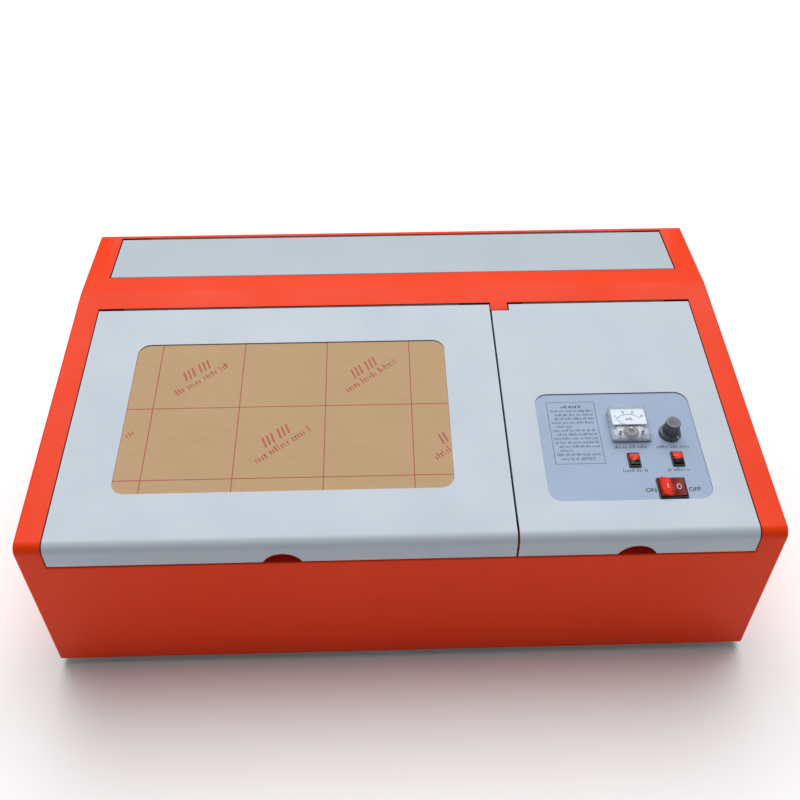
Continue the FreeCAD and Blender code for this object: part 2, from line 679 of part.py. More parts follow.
def current_knob():
    """Fluted control knob with a flared skirt, and the shaft it is pressed on."""
    x, y = KNOB
    floor = PLATE + 0.8
    skirt = Part.makeCone(SKIRT_R, SKIRT_R - 1.2, SKIRT_H, V(x, y, floor))
    body = Part.makeCone(KNOB_R + 1.2, KNOB_R, KNOB_H - SKIRT_H, V(x, y, floor + SKIRT_H))
    knob = fuse([skirt, body])
    knob = rounded(knob, 0.8, lambda e: abs(e.BoundBox.ZMin - (floor + KNOB_H)) < 1e-6)
    flutes = []
    for k in range(FLUTES):
        a = math.radians(360 / FLUTES * k)
        foot = V(x, y, floor + SKIRT_H + FLUTE_END) + V(math.cos(a), math.sin(a), 0) * (KNOB_R + 0.8)
        flutes.append(Part.makeCylinder(FLUTE_R, KNOB_H - SKIRT_H - 2 * FLUTE_END, foot))
    pocket = Part.makeCylinder(SHAFT_R, 13, V(x, y, floor - 0.5))
    nut_room = Part.makeCylinder(7.5, 3.2, V(x, y, floor - 0.5))
    shaft = Part.makeCylinder(SHAFT_R, floor + 12.5 - (PLATE - 7), V(x, y, PLATE - 7))
    return on_slope(Part.Compound([knob.cut(flutes + [pocket, nut_room]), shaft]))


def potentiometer():
    """Body, threaded bush and nut; the shaft turns in it."""
    x, y = KNOB
    body = Part.makeCylinder(8.5, 9, V(x, y, PLATE - PANEL_T - 9))
    bush = Part.makeCylinder(3.5, 8, V(x, y, PLATE - PANEL_T - 4.5))
    nut = hex_prism(x, y, PLATE, 10, 2.2)
    lugs = [box(x + dx - 1, x + dx + 1, y - 14, y - 7, PLATE - 8, PLATE - 7.4) for dx in (-5, 0, 5)]
    bore = Part.makeCylinder(SHAFT_R + 0.05, 9.6, V(x, y, PLATE - 7.1))
    return on_slope(fuse([body, bush, nut] + lugs).cut(bore))


def switch_frame(centre, size, depth):
    """Snap-in frame: a rim on the panel, and an open-topped body behind it."""
    x, y = centre
    width, length = size
    rim = slab(x - width / 2, x + width / 2, y - length / 2, y + length / 2, PLATE, PLATE + BEZEL_H, 1.2)
    rim = rounded(rim, 0.6, lambda e: abs(e.BoundBox.ZMin - (PLATE + BEZEL_H)) < 1e-6)
    w, h = width / 2 - 1, length / 2 - 1
    body = box(x - w, x + w, y - h, y + h, PLATE - depth, PLATE + 0.5)
    w, h = w - BEZEL_RIM / 2, h - BEZEL_RIM / 2
    cavity = box(x - w, x + w, y - h, y + h, PLATE - depth + 1.5, PLATE + 5)
    blades = [box(x + dx - 2, x + dx + 2, y - 0.4, y + 0.4, PLATE - depth - 7, PLATE - depth + 0.5)
              for dx in (-width / 4, width / 4)]
    return fuse([rim, body] + blades).cut(cavity)


def rocker(half_length, width, tilt):
    """Two-sided rocker about its own X axis, pressed on the side it is tilted to."""
    flare = math.tan(math.radians(8))
    base, crown = -2.0, 3.4
    reach = half_length
    top = crown + reach * flare
    far, peak = reach + 1, top + flare
    outline = [(-far, base), (far, base), (far, peak), (0, crown), (-far, peak)]
    faces = polygon_x(outline, -width / 2, width / 2)
    round_ends = Part.makeCylinder(reach, width, V(-width / 2, 0, 0), X_AXIS)
    tall = box(-width, width, -reach - 2, reach + 2, base - 1, top + 3)
    shape = faces.common(round_ends).common(tall)
    shape.rotate(V(0, 0, 0), X_AXIS, tilt)
    return shape


PIVOT_W = PLATE + 0.2
ROCKER_TILT = 8.0


def rocker_size(size):
    """Half length and width that clear the frame's cavity."""
    width = size[0] - 2 - BEZEL_RIM - 2 * ROCKER_GAP
    half_length = size[1] / 2 - 1 - BEZEL_RIM / 2 - ROCKER_GAP
    return half_length, width


def switch_frames():
    """The frames of the laser, test and main switches."""
    return on_slope(Part.Compound([
        switch_frame(LASER_SW, SMALL_SW, 12),
        switch_frame(TEST_SW, SMALL_SW, 12),
        switch_frame(MAIN_SW, BIG_SW, 16),
    ]))


def laser_rocker():
    half_length, width = rocker_size(SMALL_SW)
    shape = rocker(half_length, width, ROCKER_TILT)
    shape.translate(V(LASER_SW[0], LASER_SW[1], PIVOT_W))
    return on_slope(shape)


def main_rocker():
    half_length, width = rocker_size((BIG_SW[1], BIG_SW[0]))
    shape = rocker(half_length, width, ROCKER_TILT)
    shape.rotate(V(0, 0, 0), Z_AXIS, 90)
    shape.translate(V(MAIN_SW[0], MAIN_SW[1], PIVOT_W))
    return on_slope(shape)


def test_button():
    """Crowned push cap on a plunger."""
    half_length, width = rocker_size(SMALL_SW)
    x, y = TEST_SW
    crown = Part.makeCylinder(14, width, V(x - width / 2, y, PLATE + 5.4 - 14), X_AXIS)
    blank = box(x - width / 2, x + width / 2, y - half_length, y + half_length, PLATE - 3, PLATE + 8)
    stem = Part.makeCylinder(2, 5, V(x, y, PLATE - 7))
    return on_slope(fuse([blank.common(crown), stem]))


# ---- laser tube ----
TUBE_R, TUBE_X = 25.0, (-318.0, 352.0)
CLAMP_X = (-306.0, 250.0)
HOSE_TAPS = (-280.0, 310.0)                     # water nozzles of the tube


def laser_tube():
    """Glass envelope with its discharge tube down the middle, closed by end discs around the heads."""
    x0, x1 = TUBE_X
    centre = V((x0 + x1) / 2, from_front(TUBE_Y), up(BEAM_Z))
    glass = ring(centre, X_AXIS, TUBE_R, TUBE_R - 1.6, x1 - x0)
    discs = [ring(V(x, centre.y, centre.z), X_AXIS, TUBE_R - 1, 9.05, 3) for x in (x0 + 1.5, x1 - 1.5)]
    bulkheads = [ring(V(x, centre.y, centre.z), X_AXIS, TUBE_R - 1, 7.5, 2) for x in (x0 + 60, x1 - 60)]
    core = ring(centre, X_AXIS, 8, 6, x1 - x0 - 40)
    tap_feet = [V(x, centre.y + TUBE_R - 1, centre.z) for x in HOSE_TAPS]
    nozzles = [Part.makeCylinder(4, 14, foot, Y_AXIS) for foot in tap_feet]
    bores = [Part.makeCylinder(2.4, 20, foot - Y_AXIS * 4, Y_AXIS) for foot in tap_feet]
    return fuse([glass, core] + discs + bulkheads + nozzles).cut(bores)


def tube_end_caps():
    """Metal heads that hold the resonator mirrors."""
    caps = []
    for x, side in ((TUBE_X[0], -1), (TUBE_X[1], 1)):
        centre = V(x, from_front(TUBE_Y), up(BEAM_Z))
        neck = Part.makeCylinder(9, 10, centre - X_AXIS * (side * 6), X_AXIS * side)
        head = Part.makeCylinder(12, 12, centre + X_AXIS * (side * 4), X_AXIS * side)
        bore = rod(centre, X_AXIS, 4, 60)
        caps.append(fuse([neck, head]).cut(bore))
    return Part.Compound(caps)


def tube_clamps():
    """Two pillars with round straps about the tube."""
    clamps = []
    for x in CLAMP_X:
        centre = V(x, from_front(TUBE_Y), up(BEAM_Z))
        post = box(x - 7, x + 7, centre.y - 15, centre.y + 15, FLOOR, centre.z)
        foot = box(x - 7, x + 7, centre.y - 28, centre.y + 28, FLOOR, FLOOR + 4)
        strap = rod(centre, X_AXIS, TUBE_R + 4, 14)
        clamps.append(fuse([post, foot, strap]).cut(rod(centre, X_AXIS, TUBE_R + 0.1, 20)))
    return Part.Compound(clamps)


def mirror_mount(centre, turn_deg, post_bottom):
    """Mirror in a square plate turned about Z, on a post; the mirror's face is at the centre point."""
    plate = box(-16, 16, 0.5, 6.5, -16, 16)
    plate = plate.cut(Part.makeCylinder(9, 20, V(0, -5, 0), Y_AXIS))
    back = box(-16, 16, 6.5, 9, -16, 16)
    glass = Part.makeCylinder(10, 2.5, V(0, 0.5, 0), Y_AXIS)
    bezel = Part.makeCylinder(12, 2.2, V(0, 0, 0), Y_AXIS).cut(Part.makeCylinder(8.5, 4, V(0, -1, 0), Y_AXIS))
    screws = [Part.makeCylinder(2, 9, V(x, 8, z), Y_AXIS) for x, z in ((-11, -11), (-11, 11), (11, 11))]
    head = fuse([plate, back, glass, bezel] + screws)
    head.rotate(V(0, 0, 0), Z_AXIS, turn_deg)
    head.translate(centre)
    a = math.radians(turn_deg)
    behind = V(centre.x - 6 * math.sin(a), centre.y + 6 * math.cos(a), 0)
    post = box(behind.x - 6, behind.x + 6, behind.y - 6, behind.y + 6, post_bottom, centre.z - 10)
    return fuse([head, post])


def mirror_1_mount():
    """Turns the beam from the tube to the front."""
    centre = V(BEAM_X, from_front(TUBE_Y), up(BEAM_Z))
    mount = mirror_mount(centre, 45, FLOOR)
    foot = box(BEAM_X - 18, BEAM_X + 10, centre.y - 10, centre.y + 14, FLOOR, FLOOR + 4)
    return fuse([mount, foot])


# ---- gantry ----
ROD_R = 5.0
FRAME_Y = (42.0, 376.0)
BAR_Z = (22.0, 40.0)
Y_MOTOR_HALF = 20.7


def gantry_frame():
    """Welded frame on four legs: side bars, cross bars, rod ends and belt brackets."""
    y0, y1 = from_front(FRAME_Y[0]), from_front(FRAME_Y[1])
    z0, z1 = up(BAR_Z[0]), up(BAR_Z[1])
    shapes = []
    for x in ROD_X:
        shapes.append(box(x - 17, x + 17, y0, y1, z1 - 3, z1))
        shapes.append(box(x - 17, x - 14, y0, y1, z0, z1))
        for a, b in ((y0, y0 + 10), (y1 - 10, y1)):
            shapes.append(box(x - 12, x + 12, a, b, z1 - 3, up(ROD_Z) + 10))
            shapes.append(box(x - 10, x + 10, a, b, FLOOR, z1))
    for a, b in ((y0, y0 + 18), (y1 - 18, y1)):
        shapes.append(box(ROD_X[0] - 17, ROD_X[1] + 17, a, b, z1 - 3, z1))
        shapes.append(box(ROD_X[0] - 17, ROD_X[1] + 17, a, a + 3, z0, z1))
    axle_z, shaft_y, idler_y = up(SHAFT_Z), from_front(SHAFT_Y), from_front(IDLER_Y)
    for x, side in zip(BELT_X, (1, -1)):
        plate = sorted((x + side * 8, x + side * 12))
        for y in (shaft_y, idler_y):
            shapes.append(box(plate[0], plate[1], y - 10, y + 10, z1 - 3, axle_z + 12))
        shapes.append(Part.makeCylinder(2.5, 16, V(x + side * 10, idler_y, axle_z), X_AXIS * -side))
    motor_seat = axle_z - Y_MOTOR_HALF - 0.2
    shapes.append(box(-144, -102, shaft_y - 4, shaft_y + 15.9, z1 - 3, motor_seat))
    frame = fuse(shapes)
    cuts = [rod(V(0, shaft_y, axle_z), X_AXIS, 3.05, 700)]
    cuts += [rod(V(x, 0, up(ROD_Z)), Y_AXIS, ROD_R, 600) for x in ROD_X]
    return frame.cut(cuts)


def y_rods():
    length = FRAME_Y[1] - FRAME_Y[0]
    middle = from_front((FRAME_Y[0] + FRAME_Y[1]) / 2)
    return Part.Compound([rod(V(x, middle, up(ROD_Z)), Y_AXIS, ROD_R, length) for x in ROD_X])


PULLEY_R, BELT_T, BELT_W = 8.0, 1.4, 6.0


def pulley(centre, axis, bore):
    """Toothed-belt pulley with two flanges."""
    shapes = [rod(centre, axis, PULLEY_R, 8)]
    for side in (-1, 1):
        shapes.append(rod(centre + axis * (side * 4.2), axis, PULLEY_R + 2.4, 1))
    body = fuse(shapes)
    return body.cut(rod(centre, axis, bore, 20)) if bore else body


def belt(length, radius):
    """Closed belt in the XY plane between two pulleys, one at the origin and one along +X."""
    def loop(r):
        middle = box(0, length, -r, r, -BELT_W / 2, BELT_W / 2)
        ends = [Part.makeCylinder(r, BELT_W, V(x, 0, -BELT_W / 2)) for x in (0, length)]
        return fuse([middle] + ends)
    return loop(radius + BELT_T).cut(loop(radius))


def y_belts():
    belts = []
    for x in BELT_X:
        one = belt(SHAFT_Y - IDLER_Y, PULLEY_R + 0.05)
        one.rotate(V(0, 0, 0), Z_AXIS, 90)
        one.rotate(V(0, 0, 0), Y_AXIS, 90)
        one.translate(V(x, from_front(IDLER_Y), up(SHAFT_Z)))
        belts.append(one)
    return Part.Compound(belts)


def y_drive_shaft():
    centre = V(0, from_front(SHAFT_Y), up(SHAFT_Z))
    shapes = []
    for x0, x1 in ((-308, -145), (-101, 62)):
        shapes.append(Part.makeCylinder(3, x1 - x0, V(x0, centre.y, centre.z), X_AXIS))
    shapes.append(Part.makeCylinder(2.4, 60, V(-150, centre.y, centre.z), X_AXIS))
    for x in (-144.9, -101.1):
        shapes.append(rod(V(x + math.copysign(9, x + 123), centre.y, centre.z), X_AXIS, 9, 17))
    shapes += [pulley(V(x, centre.y, centre.z), X_AXIS, 0) for x in BELT_X]
    return fuse(shapes)


def belt_idlers():
    return Part.Compound([pulley(V(x, from_front(IDLER_Y), up(SHAFT_Z)), X_AXIS, 2.55) for x in BELT_X])


def stepper(face, axis, length, shaft_bore, half=21.0):
    """Square stepper motor; its mounting face is at the point and its body lies behind the axis."""
    turn = FreeCAD.Rotation(Z_AXIS, axis)
    body = slab(-half, half, -half, half, -length, 0, 4)
    ends = [slab(-half - 0.2, half + 0.2, -half - 0.2, half + 0.2, z, z + 8, 5) for z in (-length, -8)]
    boss = Part.makeCylinder(11, 1.6, V(0, 0, 0))
    motor = fuse([body, boss] + ends).cut(Part.makeCylinder(shaft_bore, length + 10, V(0, 0, -length - 5)))
    motor.Placement = FreeCAD.Placement(face, turn)
    return motor


def y_motor():
    return stepper(V(-103, from_front(SHAFT_Y), up(SHAFT_Z)), X_AXIS, 40, 2.5, Y_MOTOR_HALF)


BEAM_SECTION = (30.0, 50.0, 115.0, 145.0)      # behind the beam line, and above the case bottom
X_BELT_Z, X_BELT_Y = 158.0, 39.0
X_PULLEYS = (-325.0, 80.0)


def x_beam():
    """Slotted aluminium extrusion that spans the two rods, with the belt idler's bracket."""
    y0, y1 = from_front(HEAD_Y + BEAM_SECTION[0]), from_front(HEAD_Y + BEAM_SECTION[1])
    z0, z1 = up(BEAM_SECTION[2]), up(BEAM_SECTION[3])
    beam = box(-336, 92, y0, y1, z0, z1)
    cuts = []
    for y, sign in ((y0, 1), (y1, -1)):
        z = (z0 + z1) / 2
        mouth = sorted((y - sign, y + sign * 5))
        wide = sorted((y + sign * 1.8, y + sign * 5))
        cuts.append(box(-340, 95, mouth[0], mouth[1], z - 2.5, z + 2.5))
        cuts.append(box(-340, 95, wide[0], wide[1], z - 5, z + 5))
    for z in (z0 + 7, z1 - 7):
        cuts.append(rod(V(-120, (y0 + y1) / 2, z), X_AXIS, 3.2, 500))
    x = X_PULLEYS[0]
    bracket = box(x - 10, x + 10, y1, y1 + 3, up(118), up(X_BELT_Z) + 10)
    pin = Part.makeCylinder(2.5, 17, V(x, y1 + 1, up(X_BELT_Z)), Y_AXIS * -1)
    return fuse([beam.cut(cuts), bracket, pin])


def bearing_blocks():
    """Sliding blocks on the rods, each with a finger to its belt."""
    blocks = []
    for x, belt_x in zip(ROD_X, BELT_X):
        y0, y1 = from_front(HEAD_Y + 20), from_front(HEAD_Y + 60)
        body = slab(x - 16, x + 16, y0, y1, up(85), up(115), 2)
        side = 1 if belt_x > x else -1
        arm = sorted((x + side * 10, belt_x + side * 3))
        finger = box(arm[0], arm[1], y0 + 12, y1 - 12, up(82.2), up(88))
        bore = rod(V(x, (y0 + y1) / 2, up(ROD_Z)), Y_AXIS, ROD_R + 0.05, 80)
        blocks.append(fuse([body, finger]).cut(bore))
    return Part.Compound(blocks)


def x_rail():
    y1 = from_front(HEAD_Y + BEAM_SECTION[0])
    rail = box(-318, 76, y1 - 8, y1, up(124), up(136))
    waist = [box(-320, 78, y1 - 5, y1 - 2.5, up(z), up(z + 1.6)) for z in (123, 135.4)]
    holes = [rod(V(-305 + 40 * k, y1 - 6, up(130)), Y_AXIS, 2.6, 5) for k in range(10)]
    return rail.cut(waist + holes)


def x_motor():
    return stepper(V(X_PULLEYS[1], from_front(HEAD_Y + BEAM_SECTION[1]), up(X_BELT_Z)), Y_AXIS * -1, 30, 2.6)


def x_belt():
    one = belt(X_PULLEYS[1] - X_PULLEYS[0], PULLEY_R + 0.05)
    one.rotate(V(0, 0, 0), X_AXIS, 90)
    one.translate(V(X_PULLEYS[0], from_front(HEAD_Y + X_BELT_Y), up(X_BELT_Z)))
    return one


def x_drive_pulley():
    y = from_front(HEAD_Y + X_BELT_Y)
    wheel = pulley(V(X_PULLEYS[1], y, up(X_BELT_Z)), Y_AXIS, 0)
    shaft = Part.makeCylinder(2.5, 30, V(X_PULLEYS[1], y, up(X_BELT_Z)), Y_AXIS)
    return fuse([wheel, shaft])


def x_idler():
    return pulley(V(X_PULLEYS[0], from_front(HEAD_Y + X_BELT_Y), up(X_BELT_Z)), Y_AXIS, 2.55)


def mirror_2_mount():
    """Turns the beam across the gantry; it rides on the left end of the beam."""
    centre = V(BEAM_X, from_front(HEAD_Y), up(BEAM_Z))
    mount = mirror_mount(centre, 135, up(119))
    arm = box(BEAM_X - 14, -336, centre.y - 14, from_front(HEAD_Y + 50), up(115), up(119))
    return fuse([mount, arm])


# ---- laser head ----
def head_carriage():
    """Block that rides on the rail, its front plate, and the clip under the belt."""
    y_rail = from_front(HEAD_Y + BEAM_SECTION[0])
    x0, x1 = HEAD_X - 22, HEAD_X + 22
    block = box(x0, x1, y_rail - 16, y_rail - 0.15, up(117), up(143))
    channel = box(x0 - 1, x1 + 1, y_rail - 8.1, y_rail + 1, up(123.9), up(136.1))
    clip = box(x0 + 8, x1 - 8, y_rail - 16, from_front(HEAD_Y + 43), up(146), up(148.2))
    riser = box(x0 + 8, x1 - 8, y_rail - 16, y_rail - 12, up(140), up(148.2))
    return fuse([block.cut(channel), clip, riser])


def head_frame(shape):
    """Places a shape whose +Z points off the head's 45 degree mirror seat."""
    placed = shape.copy()
    placed.rotate(V(0, 0, 0), Y_AXIS, 45)
    placed.translate(V(HEAD_X, from_front(HEAD_Y), up(BEAM_Z)))
    return placed


MIRROR_R, MIRROR_T = 9.0, 2.5
LENS_R = 8.0


def laser_head():
    """Mirror box, focus barrel and nozzle in one column."""
    x, y = HEAD_X, from_front(HEAD_Y)
    mirror_box = slab(x - 15, x + 15, y - 14, y + 14, up(134), up(166), 2)
    barrel = Part.makeCylinder(11, 40, V(x, y, up(96)))
    nozzle = cone(V(x, y, up(80)), Z_AXIS, 4, 11, 16)
    rings = [ring(V(x, y, up(z)), Z_AXIS, 12.2, 10, 3) for z in (98, 128)]
    bores = [
        Part.makeCylinder(4, 40, V(x - 40, y, up(BEAM_Z)), X_AXIS),
        Part.makeCylinder(4, 12, V(x, y, up(140))),
        Part.makeCylinder(LENS_R, 42, V(x, y, up(100))),
        Part.makeCylinder(2, 40, V(x, y, up(70))),
        head_frame(box(-40, 40, -30, 30, 0, 60)),
    ]
    return fuse([mirror_box, barrel, nozzle] + rings).cut(bores)


def focus_lens():
    x, y = HEAD_X, from_front(HEAD_Y)
    ball = Part.makeSphere(30, V(x, y, up(100) + 3.2 - 30))
    return Part.makeCylinder(LENS_R - 0.05, 4, V(x, y, up(100))).common(ball)


def head_mirror():
    return head_frame(Part.makeCylinder(MIRROR_R, MIRROR_T))


def mirror_cap():
    """Cap that holds the head's mirror on its seat."""
    cap = slab(-18, 18, -13, 13, 0, 5, 2).cut(Part.makeCylinder(MIRROR_R, MIRROR_T))
    screws = [Part.makeCylinder(2.4, 1.8, V(a, b, 5)) for a in (-14, 14) for b in (-9, 9)]
    return head_frame(fuse([cap] + screws))


# ---- work table and clamp ----
TABLE_X, TABLE_Y, TABLE_Z = (-284.0, 34.0), (84.0, 330.0), 50.0
TABLE_T = 3.0
CLAMP_X0, CLAMP_X1 = -195.0, -55.0
GUIDE_X = (-180.0, -70.0)
GUIDE_R, GUIDE_Z = 2.5, 58.0
JAW_FIXED_Y, JAW_Y, CLAMP_FRONT_Y = 240.0, 230.0, 104.0


def work_table():
    """Slatted table on four posts."""
    x0, x1 = TABLE_X
    y0, y1 = from_front(TABLE_Y[0]), from_front(TABLE_Y[1])
    middle = (x0 + x1) / 2
    plate = slab(x0, x1, y0, y1, up(TABLE_Z), up(TABLE_Z + TABLE_T), 4)
    slots = []
    for row in range(19):
        y = y0 + 9 + 12 * row
        for a, b in ((x0 + 12, middle - 6), (middle + 6, x1 - 12)):
            slots.append(slab(a, b, y, y + 7, up(TABLE_Z) - 1, up(TABLE_Z + 5), 3))
    posts = [
        Part.makeCylinder(6, up(TABLE_Z) - FLOOR, V(x, y, FLOOR))
        for x in (x0 + 6, x1 - 6)
        for y in (y0 + 7, y1 - 7)
    ]
    return fuse([plate.cut(slots)] + posts)


def clamp_base():
    """Fixed jaw, front bar and the two guides between them."""
    z0, z1 = up(TABLE_Z + TABLE_T), up(GUIDE_Z + 5)
    jaw_y, front_y = from_front(JAW_FIXED_Y), from_front(CLAMP_FRONT_Y)
    jaw = box(CLAMP_X0, CLAMP_X1, jaw_y, jaw_y + 8, z0, z1)
    bar = box(CLAMP_X0, CLAMP_X1, front_y - 8, front_y, z0, z1)
    length = jaw_y - front_y + 4
    guides = [Part.makeCylinder(GUIDE_R, length, V(x, front_y - 2, up(GUIDE_Z)), Y_AXIS) for x in GUIDE_X]
    return fuse([jaw, bar] + guides)


def clamp_jaw():
    """Moving jaw: a bar that slides on the guides, with a finger lip at its front."""
    y = from_front(JAW_Y)
    bar = box(CLAMP_X0, CLAMP_X1, y, y + 8, up(TABLE_Z + TABLE_T) + 0.2, up(GUIDE_Z + 5))
    lip = box(-140, -110, y - 10, y, up(GUIDE_Z + 3), up(GUIDE_Z + 5))
    bores = [rod(V(x, y, up(GUIDE_Z)), Y_AXIS, GUIDE_R + 0.05, 40) for x in GUIDE_X]
    return fuse([bar, lip]).cut(bores)


# ---- electronics ----
def power_supply():
    """High-voltage supply in a slotted box, with its terminal row at the front."""
    x0, x1, y0, y1 = 150.0, 255.0, from_front(60), from_front(225)
    z0, z1 = FLOOR + TRAY_GAP, up(84)
    case = slab(x0, x1, y0, y1, z0, z1, 1.5)
    slots = []
    for column in range(2):
        for row in range(8):
            a, b = x0 + 12 + 44 * column, y0 + 30 + 14 * row
            slots.append(box(a, a + 36, b, b + 4, z1 - 1.5, z1 + 1))
    for row in range(8):
        b = y0 + 30 + 14 * row
        slots.append(box(x1 - 1.5, x1 + 1, b, b + 4, z0 + 15, z1 - 15))
    terminals = box(x0 + 12, x1 - 12, y0 - 9, y0, z0 + 4, z0 + 18)
    wells = [box(x0 + 14 + 8 * k, x0 + 20 + 8 * k, y0 - 10, y0 - 1, z0 + 9, z0 + 19) for k in range(9)]
    screws = [Part.makeCylinder(2.2, 3, V(x0 + 17 + 8 * k, y0 - 5, z0 + 8)) for k in range(9)]
    ears = [box(x0 + dx, x0 + dx + 14, y1, y1 + 12, z0, z0 + 1.5) for dx in (10, 81)]
    return fuse([case.cut(slots), terminals.cut(wells)] + screws + ears)


def controller_board():
    """Circuit board on spacers, with its driver modules and the USB socket at the right wall."""
    x0, x1, y0, y1 = 290.0, 390.0, from_front(240), from_front(335)
    z0 = FLOOR + 8
    z1 = z0 + 1.6
    board = box(x0, x1, y0, y1, z0, z1)
    spacers = [Part.makeCylinder(3, 8, V(x, y, FLOOR)) for x in (x0 + 5, x1 - 5) for y in (y0 + 5, y1 - 5)]
    usb_y = from_front(USB_Y)
    usb = box(x1 - 14, RIGHT - 0.4, usb_y - 6, usb_y + 6, z1, z1 + 11)
    usb = usb.cut(box(RIGHT - 9, RIGHT + 1, usb_y - 4.2, usb_y + 4.2, z1 + 1.5, z1 + 9.5))
    tongue = box(RIGHT - 10, RIGHT - 2, usb_y - 2.8, usb_y + 2.8, z1 + 4, z1 + 7)
    modules = [box(x0 + 10 + 28 * k, x0 + 30 + 28 * k, y0 + 12, y0 + 27, z1, z1 + 9) for k in range(2)]
    fins = [box(x0 + 12 + 28 * k + 4 * i, x0 + 13.5 + 28 * k + 4 * i, y0 + 14, y0 + 25, z1 + 9, z1 + 15)
            for k in range(2) for i in range(5)]
    chip = box(x0 + 36, x0 + 50, y0 + 45, y0 + 59, z1, z1 + 2)
    capacitors = [Part.makeCylinder(5, 14, V(x0 + 12 + 13 * k, y1 - 12, z1)) for k in range(3)]
    headers = [box(x0 + 60 + 12 * k, x0 + 68 + 12 * k, y1 - 9, y1 - 2, z1, z1 + 8) for k in range(2)]
    return fuse([board, usb, tongue, chip] + spacers + modules + fins + capacitors + headers)


def save_all(parts):
    for name, make in parts.items():
        export(name, make())


PARTS = {
    "case_shell": case_shell,
    "base_tray": base_tray,
    "rear_panel": rear_panel,
    "bay_divider": bay_divider,
    "tube_bay_wall": tube_bay_wall,
    "exhaust_duct": exhaust_duct,
    "rubber_feet": rubber_feet,
    "case_screws": case_screws,
    "hose_grommets": hose_grommets,
    "mains_inlet": mains_inlet,
    "hinge_bases": hinge_bases,
    "work_hinge_leaf": work_hinge_leaf,
    "control_hinge_leaf": control_hinge_leaf,
    "tube_hinge_leaf": tube_hinge_leaf,
    "work_lid": work_lid,
    "masking_paper": masking_paper,
    "window_acrylic": window_acrylic,
    "control_lid": control_lid,
    "tube_lid": tube_lid,
    "control_panel": control_panel,
    "panel_nuts": panel_nuts,
    "meter_base": meter_base,
    "meter_cover": meter_cover,
    "meter_dial": meter_dial,
    "meter_coil": meter_coil,
    "meter_needle": meter_needle,
    "current_knob": current_knob,
    "potentiometer": potentiometer,
    "switch_frames": switch_frames,
    "laser_rocker": laser_rocker,
    "main_rocker": main_rocker,
    "test_button": test_button,
    "laser_tube": laser_tube,
    "tube_end_caps": tube_end_caps,
    "tube_clamps": tube_clamps,
    "mirror_1_mount": mirror_1_mount,
    "gantry_frame": gantry_frame,
    "y_rods": y_rods,
    "y_belts": y_belts,
    "y_drive_shaft": y_drive_shaft,
    "belt_idlers": belt_idlers,
    "y_motor": y_motor,
    "x_beam": x_beam,
    "bearing_blocks": bearing_blocks,
    "x_rail": x_rail,
    "x_motor": x_motor,
    "x_belt": x_belt,
    "x_drive_pulley": x_drive_pulley,
    "x_idler": x_idler,
    "mirror_2_mount": mirror_2_mount,
    "head_carriage": head_carriage,
    "laser_head": laser_head,
    "focus_lens": focus_lens,
    "head_mirror": head_mirror,
    "mirror_cap": mirror_cap,
    "work_table": work_table,
    "clamp_base": clamp_base,
    "clamp_jaw": clamp_jaw,
    "power_supply": power_supply,
    "controller_board": controller_board,
}

os.makedirs("parts", exist_ok=True)
save_all(PARTS)
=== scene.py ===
import json
import math
import random

import bpy
from mathutils import Matrix, Vector


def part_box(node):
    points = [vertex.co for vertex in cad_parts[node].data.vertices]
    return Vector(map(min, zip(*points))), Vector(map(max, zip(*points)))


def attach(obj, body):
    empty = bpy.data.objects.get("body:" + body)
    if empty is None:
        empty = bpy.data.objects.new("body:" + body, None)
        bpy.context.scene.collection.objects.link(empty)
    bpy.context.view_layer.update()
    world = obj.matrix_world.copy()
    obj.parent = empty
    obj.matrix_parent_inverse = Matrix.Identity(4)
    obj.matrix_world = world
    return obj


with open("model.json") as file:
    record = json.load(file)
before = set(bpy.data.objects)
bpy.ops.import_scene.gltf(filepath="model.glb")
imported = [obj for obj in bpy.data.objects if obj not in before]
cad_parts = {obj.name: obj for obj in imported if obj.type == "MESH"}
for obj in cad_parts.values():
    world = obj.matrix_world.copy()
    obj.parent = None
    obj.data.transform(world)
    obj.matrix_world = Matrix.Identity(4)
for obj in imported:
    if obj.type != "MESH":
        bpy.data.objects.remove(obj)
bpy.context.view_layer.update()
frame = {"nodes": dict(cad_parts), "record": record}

MM = 0.001
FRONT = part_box("case_shell")[0].y
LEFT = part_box("case_shell")[0].x


